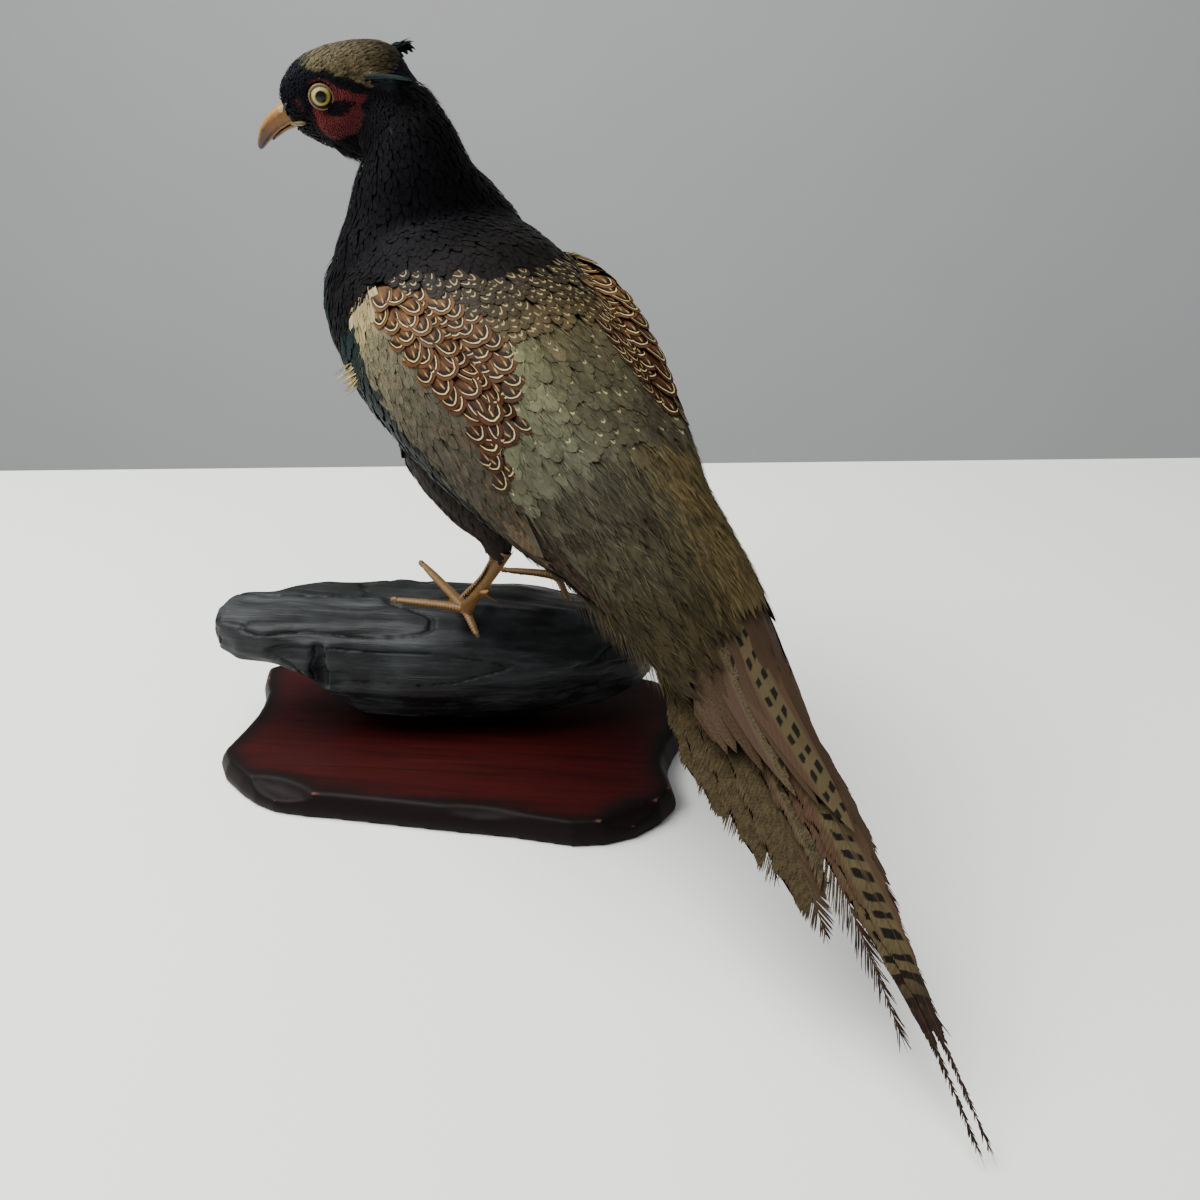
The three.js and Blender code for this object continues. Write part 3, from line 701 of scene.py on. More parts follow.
def feathers(name, zones, plumage_name, length, width, spacing, lift, outline="round",
             thick=0.1, sway=7, flow=None, keep=None, grow=None):
    """A region of vaned feathers, each rooted in the skin and laid over the ones behind."""
    roots, colours, normals = hide.roots(zones, spacing, keep)
    s, _, tailward = along_guide(roots)
    direction = tailward if flow is None else flow(roots, tailward)
    side = unit(np.cross(normals, direction))
    bend = np.tan(np.radians(chance.normal(0, sway, len(roots))))
    direction = unit(direction) + side * bend[:, None]
    size = np.interp(s, *zip(*grow)) if grow else np.ones(len(roots))
    lengths = length * size * chance.uniform(0.88, 1.12, len(roots))
    shares, profile = (np.array(v, float) for v in zip(*VANE_OUTLINES[outline]))
    lines, ups = hide.lay(roots, normals, direction, lengths, shares)
    rise = -ROOT_DEPTH + (lift + ROOT_DEPTH) * (1 - (1 - shares)**2.4)
    rise = rise[None] * chance.uniform(0.93, 1.07, (len(roots), 1)) * np.minimum(size, 1)[:, None]
    lines = lines + ups * rise[:, :, None]
    widths = 0.5 * width * profile[None] * (size * chance.uniform(0.9, 1.1, len(roots)))[:, None]
    thickness = thick * (1 - 0.6 * shares)[None] * np.ones((len(roots), 1))
    strips(name, lines, ups, widths, 0.1, thickness, colours, chance.random(len(roots)), roots,
           MATERIALS[plumage_name])


def locks(name, zones, plumage_name, length, width, spacing, lift, sway=10, keep=None,
          flow=None, curl=0.0, shade=0.0, tint=None, free=False):
    """Hair-like loose barbs, each a thin closed strip that lies along the coat or hangs free."""
    roots, colours, normals = hide.roots(zones, spacing, keep)
    _, _, tailward = along_guide(roots)
    direction = tailward if flow is None else flow(roots, tailward)
    side = unit(np.cross(normals, direction))
    bend = np.tan(np.radians(chance.normal(0, sway, len(roots))))
    direction = unit(direction) + side * bend[:, None]
    lengths = length * chance.uniform(0.6, 1.25, len(roots))
    shares = np.array([0, 0.3, 0.6, 0.85, 1.0])
    if free:
        lines = roots[:, None] + unit(direction)[:, None] * (lengths[:, None] * shares)[:, :, None]
        square = unit(normals - direction * (normals * direction).sum(1, keepdims=True))
        ups = np.repeat(square[:, None], 5, 1)
    else:
        lines, ups = hide.lay(roots, normals, direction, lengths, shares)
    lifts = lift * chance.uniform(0.75, 1.2, (len(roots), 1))
    rise = -LOCK_DEPTH + (lifts + LOCK_DEPTH) * shares**0.7
    lines = lines + ups * rise[:, :, None]
    wave = chance.normal(0, curl, (len(roots), 1)) * shares**2
    lines = lines + np.cross(ups, unit(np.gradient(lines, axis=1))) * wave[:, :, None]
    widths = 0.5 * width * np.array([0.7, 1, 0.8, 0.5, 0]) * chance.uniform(0.7, 1.2, (len(roots), 1))
    tones = chance.random(len(roots))
    colours = colours if tint is None else np.tile(linear(tint), (len(roots), 1))
    colours = colours * (1 + shade * (tones[:, None] - 0.5))
    strips(name, lines, ups, widths, 0, widths, np.clip(colours, 0, 1), tones, roots,
           MATERIALS[plumage_name], around=3)


# ---- Plumage materials --------------------------------------------------------------------------
# Feather keratin is matt to satin: melanin gives its ground colour, the barbs, half a millimetre
# apart, a fine slanting grain, and the black plumage has a thin-film gloss.

def plumage(name, barbs, slant, grain, rough, gloss=0.06, gloss_tint="#ffffff",
            pattern=None, shaft=0.25, tone_span=0.35):
    """A feather material: the marking's colour, a pattern of its own, barbs and shaft."""
    material, tree = finish_material(name)
    mark = node(tree, "Attribute", attribute_name="marking")
    tone = node(tree, "Attribute", attribute_name="tone", out="Fac")
    vane = node(tree, "UVMap", uv_map="vane")
    across, down, _ = node(tree, "SeparateXYZ", vane).node.outputs
    side = node(tree, "Math", across, 0.5, operation="SUBTRACT")
    side = node(tree, "Math", side, operation="ABSOLUTE")
    side = node(tree, "Math", side, 2.0, operation="MULTIPLY")
    shift = node(tree, "Math", side, -slant, down, operation="MULTIPLY_ADD")
    phase = node(tree, "Math", shift, barbs, tone, operation="MULTIPLY_ADD")
    phase = node(tree, "Math", phase, math.tau, operation="MULTIPLY")
    wave = node(tree, "Math", phase, operation="SINE")
    place = node(tree, "TexCoord", out="Object")
    mottle = node(tree, "TexNoise", {"Vector": place, "Scale": cells(3.85), "Detail": 3.0, "Roughness": 0.6})
    colour = pattern(tree, mark, side, down, tone, mottle) if pattern else mark
    # Each feather is a little lighter or darker, and each barb catches a little light.
    level = node(tree, "Math", tone, tone_span, 1 - tone_span / 2, operation="MULTIPLY_ADD")
    level = node(tree, "Math", wave, grain, level, operation="MULTIPLY_ADD")
    speck = node(tree, "Math", mottle, 0.9, 0.55, operation="MULTIPLY_ADD")
    level = node(tree, "Math", level, speck, operation="MULTIPLY")
    colour = node(tree, "VectorMath", {0: colour, "Scale": level}, operation="SCALE")
    ridge = node(tree, "Math", side, 14.0, operation="MULTIPLY")
    ridge = node(tree, "Math", 1.0, ridge, operation="SUBTRACT", use_clamp=True)
    height = node(tree, "Math", wave, 0.5, ridge, operation="MULTIPLY_ADD")
    shine = {"Specular IOR Level": gloss, "Specular Tint": paint(gloss_tint), "IOR": 1.55}
    return surfaced(material, colour, rough, shine, (shaft, 0.00025, height))


def tip_distance(tree, side, down, middle, span):
    """How far a place lies from the vane's middle towards its rounded tip: 1 at the edge."""
    along = node(tree, "Math", down, middle, operation="SUBTRACT")
    along = node(tree, "Math", along, 0.0, operation="MAXIMUM")
    along = node(tree, "Math", along, span, operation="DIVIDE")
    along = node(tree, "Math", along, 2.0, operation="POWER")
    wide = node(tree, "Math", side, 2.0, operation="POWER")
    total = node(tree, "Math", along, wide, operation="ADD")
    return node(tree, "Math", total, operation="SQRT")


def shoulder_pattern(tree, mark, side, down, tone, mottle):
    """A cream U a millimetre wide inside the chestnut edge, black within it, cream on the shaft."""
    away = tip_distance(tree, side, down, 0.52, 0.48)
    jitter = node(tree, "Math", mottle, 0.16, -0.08, operation="MULTIPLY_ADD")
    away = node(tree, "Math", away, jitter, operation="ADD")
    dark = node(tree, "ValToRGB", away,
                stops=((0.0, 0.0), (0.4, 0.2), (0.56, 1.0), (0.86, 1.0), (0.91, 0.0)))
    dark = node(tree, "Math", dark, node(tree, "ValToRGB", down, stops=((0.3, 0.2), (0.6, 1.0))),
                operation="MULTIPLY")
    colour = node(tree, "Mix", {0: dark, 6: mark, 7: paint("#1b130e")}, **COLOURS)
    cream = node(tree, "ValToRGB", away,
                 stops=((0.0, 0.0), (0.73, 0.0), (0.755, 1.0), (0.8, 1.0), (0.825, 0.0)))
    fade = node(tree, "ValToRGB", down, stops=((0.0, 0.0), (0.48, 0.0), (0.6, 1.0)))
    cream = node(tree, "Math", cream, fade, operation="MULTIPLY")
    colour = node(tree, "Mix", {0: cream, 6: colour, 7: paint("#b8a270")}, **COLOURS)
    shaft = node(tree, "ValToRGB", side, stops=((0.0, 1.0), (0.04, 0.8), (0.09, 0.0)))
    low = node(tree, "ValToRGB", down, stops=((0.0, 0.0), (0.64, 0.2), (0.7, 0.9), (0.78, 0.9), (0.83, 0.0)))
    shaft = node(tree, "Math", shaft, low, operation="MULTIPLY")
    return node(tree, "Mix", {0: shaft, 6: colour, 7: paint("#9c8352")}, **COLOURS)


def mantle_pattern(tree, mark, side, down, tone, mottle):
    """Dark feathers with a thin broken cream V and a rusty middle on some."""
    away = tip_distance(tree, side, down, 0.3, 0.7)
    cream = node(tree, "ValToRGB", away,
                 stops=((0.0, 0.0), (0.62, 0.0), (0.66, 1.0), (0.71, 1.0), (0.76, 0.0)))
    broken = node(tree, "ValToRGB", mottle, stops=((0.4, 0.0), (0.5, 1.0)))
    fade = node(tree, "ValToRGB", down,
                stops=((0.0, 0.0), (0.42, 0.0), (0.55, 1.0), (0.93, 0.8), (1.0, 0.2)))
    cream = node(tree, "Math", cream, broken, operation="MULTIPLY")
    cream = node(tree, "Math", cream, fade, operation="MULTIPLY")
    rust = node(tree, "ValToRGB", tone, stops=((0.55, 0.0), (0.8, 0.7)))
    inner = node(tree, "ValToRGB", away, stops=((0.0, 1.0), (0.3, 0.7), (0.5, 0.0)))
    rust = node(tree, "Math", rust, inner, operation="MULTIPLY")
    colour = node(tree, "Mix", {0: rust, 6: mark, 7: paint("#5a3419")}, **COLOURS)
    return node(tree, "Mix", {0: cream, 6: colour, 7: paint("#a08c62")}, **COLOURS)


def back_pattern(tree, mark, side, down, tone, mottle):
    """Sage feathers, some with a small cream V with a dark heart near the tip."""
    away = tip_distance(tree, side, down, 0.6, 0.4)
    spotted = node(tree, "ValToRGB", tone, stops=((0.66, 0.0), (0.72, 1.0)))
    heart = node(tree, "ValToRGB", away, stops=((0.0, 0.9), (0.2, 0.7), (0.3, 0.0)))
    heart = node(tree, "Math", heart, spotted, operation="MULTIPLY")
    low = node(tree, "ValToRGB", down, stops=((0.0, 0.0), (0.62, 0.0), (0.7, 1.0)))
    heart = node(tree, "Math", heart, low, operation="MULTIPLY")
    colour = node(tree, "Mix", {0: heart, 6: mark, 7: paint("#3a3226")}, **COLOURS)
    cream = node(tree, "ValToRGB", away,
                 stops=((0.0, 0.0), (0.26, 0.0), (0.31, 1.0), (0.36, 1.0), (0.42, 0.0)))
    cream = node(tree, "Math", cream, spotted, operation="MULTIPLY")
    cream = node(tree, "Math", cream, low, operation="MULTIPLY")
    return node(tree, "Mix", {0: cream, 6: colour, 7: paint("#978b66")}, **COLOURS)


def covert_pattern(tree, mark, side, down, tone, mottle):
    """Grey-buff wing feathers, a few with a maroon-brown streak beside the shaft."""
    streak = node(tree, "ValToRGB", side, stops=((0.0, 0.6), (0.3, 0.3), (0.6, 0.0)))
    picked = node(tree, "ValToRGB", tone, stops=((0.84, 0.0), (0.9, 0.9)))
    streak = node(tree, "Math", streak, picked, operation="MULTIPLY")
    colour = node(tree, "Mix", {0: streak, 6: mark, 7: paint("#43281b")}, **COLOURS)
    pale = node(tree, "ValToRGB", side, stops=((0.6, 0.0), (0.9, 0.35)))
    return node(tree, "Mix", {0: pale, 6: colour, 7: paint("#665f49")}, **COLOURS)


def flight_pattern(tree, mark, side, down, tone, mottle):
    """Olive-brown quills with paler bars across, four millimetres apart, and a buff edge."""
    wave = node(tree, "Math", down, 90.0, side, operation="MULTIPLY_ADD")
    wave = node(tree, "Math", wave, operation="SINE")
    bars = node(tree, "ValToRGB", wave, stops=((0.35, 0.0), (0.8, 0.45)))
    colour = node(tree, "Mix", {0: bars, 6: paint("#43341f"), 7: paint("#5f5235")}, **COLOURS)
    pale = node(tree, "ValToRGB", side, stops=((0.72, 0.0), (0.95, 0.6)))
    return node(tree, "Mix", {0: pale, 6: colour, 7: paint("#6d6040")}, **COLOURS)


MATERIALS = {
    "crown": plumage("bronze crown plumage", 9, 0.5, 0.4, 0.42, 0.1, "#cfd08a", tone_span=0.9),
    "black": plumage("glossy black neck plumage", 14, 0.45, 0.3, 0.42, 0.035, "#9a92a8"),
    "breast": plumage("bottle-green breast plumage", 16, 0.45, 0.3, 0.45, 0.03, "#8fb0a4"),
    "mantle": plumage("black and cream mantle plumage", 18, 0.5, 0.16, 0.5, pattern=mantle_pattern),
    "scapular": plumage("chestnut scaled shoulder plumage", 26, 0.45, 0.12, 0.5, pattern=shoulder_pattern),
    "back": plumage("sage back plumage", 26, 0.5, 0.2, 0.6, pattern=back_pattern, tone_span=0.5),
    "covert": plumage("grey-buff wing plumage", 22, 0.5, 0.2, 0.6, pattern=covert_pattern, tone_span=0.5),
    "flight": plumage("olive-brown flight feathers", 70, 0.4, 0.12, 0.5, 0.15, pattern=flight_pattern),
    "rump": plumage("loose grey-green rump plumage", 20, 0.5, 0.2, 0.62, tone_span=0.5),
    "thigh": plumage("black-brown thigh plumage", 14, 0.5, 0.25, 0.55),
    "lock": plumage("loose barbs", 6, 0.1, 0.1, 0.6, tone_span=0.7),
    "dark lock": plumage("loose dark barbs", 6, 0.1, 0.1, 0.5, 0.03, tone_span=0.7),
}


def skin_material():
    """Dried bird skin with down: the coat's ground colour, dull and grainy."""
    material, tree = finish_material("dried downy skin")
    mark = node(tree, "Attribute", attribute_name="marking")
    place = node(tree, "TexCoord", out="Object")
    grain = node(tree, "TexNoise", {"Vector": place, "Scale": cells(1.11), "Detail": 4.0})
    level = node(tree, "Math", grain, 0.8, 0.35, operation="MULTIPLY_ADD")
    colour = node(tree, "VectorMath", {0: mark, "Scale": level}, operation="SCALE")
    return surfaced(material, colour, 0.62, {"Specular IOR Level": 0.1}, (0.5, 0.0003, grain))


# ---- Build the skin and the coat ----------------------------------------------------------------

hide = Hide(*make_skin(skin_material()))


def straight(*heading):
    """A lie of the feathers that is the same over a whole region."""
    return lambda roots, tailward: np.tile(heading, (len(roots), 1))


thigh_flow = straight(-0.55, 0.0, -0.83)
chin_flow = straight(*(HEAD_AXES @ [-0.45, 0, -1.0]))   # down and back from the jaw
flank_flow = straight(-0.62, 0.0, -0.78)                # over the log and back under the tail
bend_flow = straight(0.45, 0.62, -0.62)                 # buff down slipped out under the wing's bend


def wing_flow(roots, tailward):
    """Wing feathers converge a little towards the wing's tip."""
    return tailward + [0, 0, -0.12]


# The neck's feathers grow longer towards the breast: place along the guide, share of the length.
NECK_GROWTH = ((48, 0.45), (75, 0.62), (110, 0.85), (150, 1.0), (200, 1.25))


def on_chin(points):
    head = to_head(points)
    return (head[:, 2] < -13) & (head[:, 0] < 13) & (head[:, 0] > -7)


def rump_end_flow(roots, tailward):
    """The last rump feathers run on over the tail."""
    return tailward * 0.5 + np.array([-0.87, 0.0, -0.4]) * 0.5


def before_rump_end(points):
    return points[:, 0] > -178


WING_BEND = (31, 70, 226)


def at_wing_bend(points):
    return np.linalg.norm(points - WING_BEND, axis=1) < 6.5


def on_flank(points):
    s, angle, _ = along_guide(points)
    return (s > 322) & (s < 398) & (np.abs(angle) > 88) & (np.abs(angle) < 124)


feathers("crown_feathers", ("crown",), "crown",
         4.8, 1.8, 1.1, 1.1, "scale", sway=6)
feathers("face_feathers", ("face", "patch"), "black",
         3.2, 1.4, 1.0, 1.1, "scale", sway=9)
feathers("neck_feathers", ("neck",), "black",
         12, 3.6, 2.0, 2.9, sway=5, grow=NECK_GROWTH)
feathers("breast_feathers", ("breast",), "breast",
         17, 6.5, 3.3, 3.7, sway=6)
feathers("mantle_feathers", ("mantle",), "mantle",
         15, 5.6, 2.9, 3.9, sway=8)
feathers("shoulder_feathers", ("scapular",), "scapular",
         22, 11.5, 5.3, 4.1, "broad", thick=0.14, sway=5)
feathers("back_feathers", ("back",), "back",
         24, 7, 3.6, 3.9, sway=7)
feathers("wing_coverts", ("covert",), "covert",
         20, 5.0, 2.8, 3.4, sway=6, flow=wing_flow)
feathers("rump_feathers", ("rump",), "rump",
         32, 4.6, 2.9, 4.4, "lance", sway=7, flow=rump_end_flow)
feathers("cover_feathers", ("cover",), "rump",
         24, 8.0, 4.2, 1.2, "lance", sway=5, flow=rump_end_flow, keep=before_rump_end)
feathers("thigh_feathers", ("thigh",), "thigh",
         10, 3.8, 2.2, 1.8, sway=8, flow=thigh_flow)
feathers("ear_base_feathers", ("ear",), "black",
         6, 1.9, 1.3, 0.9, "scale", sway=7)

locks("rump_locks", ("rump",), "lock",
      27, 0.5, 1.02, 5.0, sway=8, curl=1.2, shade=1.7, flow=rump_end_flow)
locks("flank_locks", ("rump", "breast"), "lock",
      24, 0.34, 1.7, 1.0, sway=9, curl=2.5, shade=1.0, flow=flank_flow, keep=on_flank, free=True,
      tint="#3c3320")
locks("back_locks", ("back",), "lock",
      15, 0.42, 1.0, 4.3, sway=9, curl=0.6, shade=1.5)
locks("wing_locks", ("covert",), "lock",
      14, 0.4, 1.05, 3.8, sway=8, curl=0.7, shade=1.5, flow=wing_flow)
locks("breast_locks", ("breast",), "dark lock",
      10, 0.28, 2.2, 4.0, sway=9, curl=0.6, shade=0.8)
locks("thigh_locks", ("thigh",), "dark lock",
      8, 0.24, 1.8, 2.2, sway=10, curl=0.6, shade=0.8, flow=thigh_flow)
locks("neck_locks", ("neck",), "dark lock",
      6.5, 0.22, 1.8, 3.0, sway=6, curl=0.3, shade=0.8)
locks("chin_locks", ("face", "neck", "wattle"), "dark lock",
      10.5, 0.8, 1.0, 0.0, sway=9, curl=0.6, flow=chin_flow, keep=on_chin, tint="#0c0b0c", free=True)
locks("wing_bend_tuft", ("covert", "breast", "neck"), "lock",
      11, 0.6, 1.3, 1.0, sway=14, curl=1.2, shade=0.8, flow=bend_flow, keep=at_wing_bend, tint="#8f8055",
      free=True)


# ---- Flight feathers: the folded quills that show along the wing's lower edge -------------------

def flight_feathers(side, sign):
    """Five quills laid along the wing's lower edge."""
    along = np.linspace(258, 286, 5)
    round_it = np.linspace(90, 101, 5) * sign
    s, angle, _ = along_guide(hide.points)
    on_wing = np.flatnonzero((hide.parts == "wing") & (angle * sign > 0))
    gap = (s[on_wing][None] - along[:, None])**2 + ((angle[on_wing][None] - round_it[:, None]) * 1.2)**2
    verts = on_wing[gap.argmin(1)]
    roots, normals = hide.points[verts], hide.normals[verts]
    _, _, tailward = along_guide(roots)
    shares = np.linspace(0, 1, 12)
    lengths = np.linspace(68, 56, len(roots))
    lines, ups = hide.lay(roots, normals, tailward + [0, 0, -0.05], lengths, shares)
    rise = np.linspace(1.6, 3.4, 12)[None] + np.linspace(0, 0.9, len(roots))[:, None]
    lines = lines + ups * rise[:, :, None]
    profile = np.sin(np.pi * np.clip(shares * 0.78 + 0.22, 0, 1)) ** 0.6
    widths = 4.5 * profile[None] * np.ones((len(roots), 1))
    thickness = np.full(widths.shape, 0.18)
    return strips("flight_feathers_" + side, lines, ups, widths, 0.1, thickness, hide.colour[verts],
                  chance.random(len(roots)), roots, MATERIALS["flight"])


# ---- Tail: twelve quills, each with its barbs as flat overlapping strips ------------------------

TAIL_LINE = smooth_line(TAIL_AXIS, 60)
TAIL_S = run_along(TAIL_LINE)
TAIL_AHEAD = unit(np.gradient(TAIL_LINE, axis=0))
BAR_SPACING = 8.7                       # from one dark bar of the tail to the next
VANE_UNIT = 26                          # across a tail feather, one unit of its pattern
FLECKS = (VANE_UNIT / 1.24, BAR_SPACING / 0.58, 0)      # 1.24 mm across the vane, 0.58 mm along it
TAIL_BUFF, COVERT_BROWN = "#7a6b45", "#4f3e2b"
QUILLS = 12
BARB_PITCH = 0.85
BARB_SLANT = math.tan(math.radians(58))


class Quill:
    """One tail feather's line, width and place in the fan."""

    def __init__(self, pair, sign):
        side = "left" if sign > 0 else "right"
        self.name = f"tail_feather_{pair + 1}_{side}"
        self.layer = (0 if sign < 0 else 1) if pair == 0 else 2 * pair + (0 if sign > 0 else 1)
        self.spread = math.tan(math.radians(TAIL_SPREADS[side][pair])) * sign
        self.span = TAIL_LENGTHS[pair] * TAIL_S[-1]
        self.widest = TAIL_HALF_WIDTHS[pair]

    def half_width(self, share):
        """The middle two pairs taper early; the outer ones keep their width to a rounded end."""
        start, run, bend = (0.25, 0.62, 1.7) if self.widest > 12.5 else (0.5, 0.47, 2.4)
        taper = 1 - np.clip((share - start) / run, 0, 1)**bend
        return np.maximum(0.8, self.widest * np.minimum(1, 0.35 + share * 2.2) * taper)

    def at(self, share, across, lift):
        """Points at shares of the quill, millimetres to the left of it and above it."""
        run = np.clip(share, 0, 1) * self.span
        centre, ahead = resampled(TAIL_LINE, TAIL_S, run), resampled(TAIL_AHEAD, TAIL_S, run)
        centre = centre + ahead * np.maximum(share - 1, 0)[..., None] * self.span
        left = unit(np.array([0, 1, 0]) - ahead * ahead[..., 1:2])
        up = -np.cross(ahead, left)
        out = self.spread * share * self.span + across
        fall = lift - self.layer * VANE_STEP - 0.012 * out**2
        return centre + left * out[..., None] + up * fall[..., None], up

    def barbs(self, material, loose_from, order, whisker):
        """Both webs' barbs; past loose_from they thin out and stray, up to whisker millimetres."""
        count = int(self.span / BARB_PITCH)
        steps = np.array([0, 0.3, 0.6, 0.85, 1.0])
        lines, ups, widths, roots, sides, places = [], [], [], [], [], []
        for sign in (1, -1):
            share = np.linspace(0.02, 0.97, count)
            loose = np.clip((share - loose_from) / (1 - loose_from), 0, 1)
            stay = chance.random(count) > 0.6 * loose
            share, loose = share[stay], loose[stay]
            clump = np.sin(np.cumsum(chance.uniform(0, 0.5, len(share))))
            reach = self.half_width(share) * (1 + 0.08 * clump * (1 - loose))
            reach = reach + loose**0.5 * chance.uniform(0.2, whisker, len(share)) * (1 - 0.85 * loose)
            slant = BARB_SLANT * (1 + 1.2 * loose + chance.normal(0, 0.05 + 0.35 * loose))
            across = sign * reach[:, None] * steps
            run = share[:, None] + reach[:, None] * slant[:, None] * steps / self.span
            strays = loose[:, None] * chance.normal(0, 0.6, (len(share), 1))
            lift = 0.35 - 0.5 * steps[None] + strays * steps**2
            line, up = self.at(run, across, np.broadcast_to(lift, across.shape))
            lines.append(line)
            ups.append(up)
            wide = 0.95 * (1 - 0.72 * np.clip(loose * 5, 0, 1))[:, None] * np.array([0.8, 1, 1, 0.7, 0])
            widths.append(wide)
            roots.append(line[:, 0])
            sides.append(np.stack([share, np.full(len(share), sign), reach, slant], 1))
            places.append(np.column_stack([0.02 + 0.96 * share * self.span / TAIL_S[-1],
                                           (order + 0.5 + 0.2 * sign) / QUILLS * np.ones(len(share))]))
        lines, ups, widths = np.concatenate(lines), np.concatenate(ups), np.concatenate(widths)
        roots, sides, places = np.concatenate(roots), np.concatenate(sides), np.concatenate(places)

        def on_feather(u, v):
            """Pattern places: across in vane units, along in dark bars."""
            per = len(u) // len(sides)
            share, sign, reach, slant = np.repeat(sides, per, 0).T
            across = sign * reach * v
            run = share * self.span + reach * slant * v + (u - 0.5) * 0.9
            return np.column_stack([0.5 + across / VANE_UNIT, run / BAR_SPACING])

        thick = np.full(widths.shape, 0.1)
        colours = np.tile(linear(TAIL_BUFF), (len(lines), 1))
        return strips(self.name + "_barbs", lines, ups, widths, 0.12, thick, colours,
                      chance.random(len(lines)), roots, material, relief=0.03,
                      replaces=(self.name,), vane=on_feather, place=places)

    def web(self, rows, columns, until):
        """The closed sheet of the vane under its barbs."""
        share = np.linspace(0.01, until, rows)
        across = np.linspace(1, -1, columns)
        wide = self.half_width(share)[:, None] * np.minimum(1, (until - share) / 0.06)[:, None] * 0.94
        run = share[:, None] + np.abs(across) * wide * BARB_SLANT / self.span * 0.97
        top, up = self.at(run, across * wide, 0.1 - 0.5 * np.abs(across) * np.ones((rows, 1)))
        low = top - up * 0.2
        ring = np.concatenate([top, low[:, ::-1]], 1)
        faces = np.concatenate([up, -up[:, ::-1]], 1)
        u = 0.5 + across * wide / VANE_UNIT
        v = run * self.span / BAR_SPACING
        vane = [np.concatenate([way, way[:, ::-1]], 1) for way in (u, v)]
        return ring, faces, np.stack(vane, -1)


def tail_webs(quills, material_of):
    """All the vanes' sheets of one marking in a piece."""
    for name, chosen in quills.items():
        points, facing, vane, bake, faces, base = [], [], [], [], [], 0
        for quill, order, until in chosen:
            rows, columns = 40, 7
            ring, up, uv = quill.web(rows, columns, until)
            points.append(ring[:-1].reshape(-1, 3))
            points.append(ring[-1].mean(0)[None])
            facing.append(up[:-1].reshape(-1, 3))
            facing.append(up[-1, :1])
            flat = np.vstack([uv[:-1].reshape(-1, 2), uv[-1].mean(0)[None]])
            vane.append(flat)
            bake.append(np.column_stack([0.02 + 0.96 * flat[:, 1] * BAR_SPACING / TAIL_S[-1],
                                         (order + 0.5 + 0.8 * (flat[:, 0] - 0.5)) / QUILLS]))
            faces.extend(f + base for f in tube_faces(1, rows, 2 * columns))
            base += (rows - 1) * 2 * columns + 1
        piece("tail_webs_" + name, np.vstack(points), faces, material_of[name],
              maps={"vane": np.vstack(vane), "OFBake": np.vstack(bake)},
              marks=np.tile(linear(TAIL_BUFF), (base, 1)), tone=np.full(base, 0.5),
              shading=np.vstack(facing))


def tail_shafts(quills):
    """The bare shafts: horn-brown, finer to the tip."""
    share = np.concatenate([np.linspace(0.0, 0.96, 29), [1.0]])
    lines, ups, widths = [], [], []
    for quill, _, _ in quills:
        line, up = quill.at(share, np.zeros(30), 0.42 - 0.25 * share)
        lines.append(line)
        ups.append(up)
        widths.append(np.interp(share, (0, 1), (0.75, 0.3)) * np.where(share < 1, 1, 0))
    lines, ups, widths = np.stack(lines), np.stack(ups), np.stack(widths)
    colours = np.tile(linear("#3b2a1c"), (len(lines), 1))
    place = np.column_stack([np.full(len(lines), 0.01), (np.arange(len(lines)) + 0.5) / QUILLS])
    strips("tail_shafts", lines, ups, widths, 0.0, widths * 0.7, colours, np.full(len(lines), 0.5),
           lines[:, 0], MATERIALS["shaft"], place=place, relief=0.9)


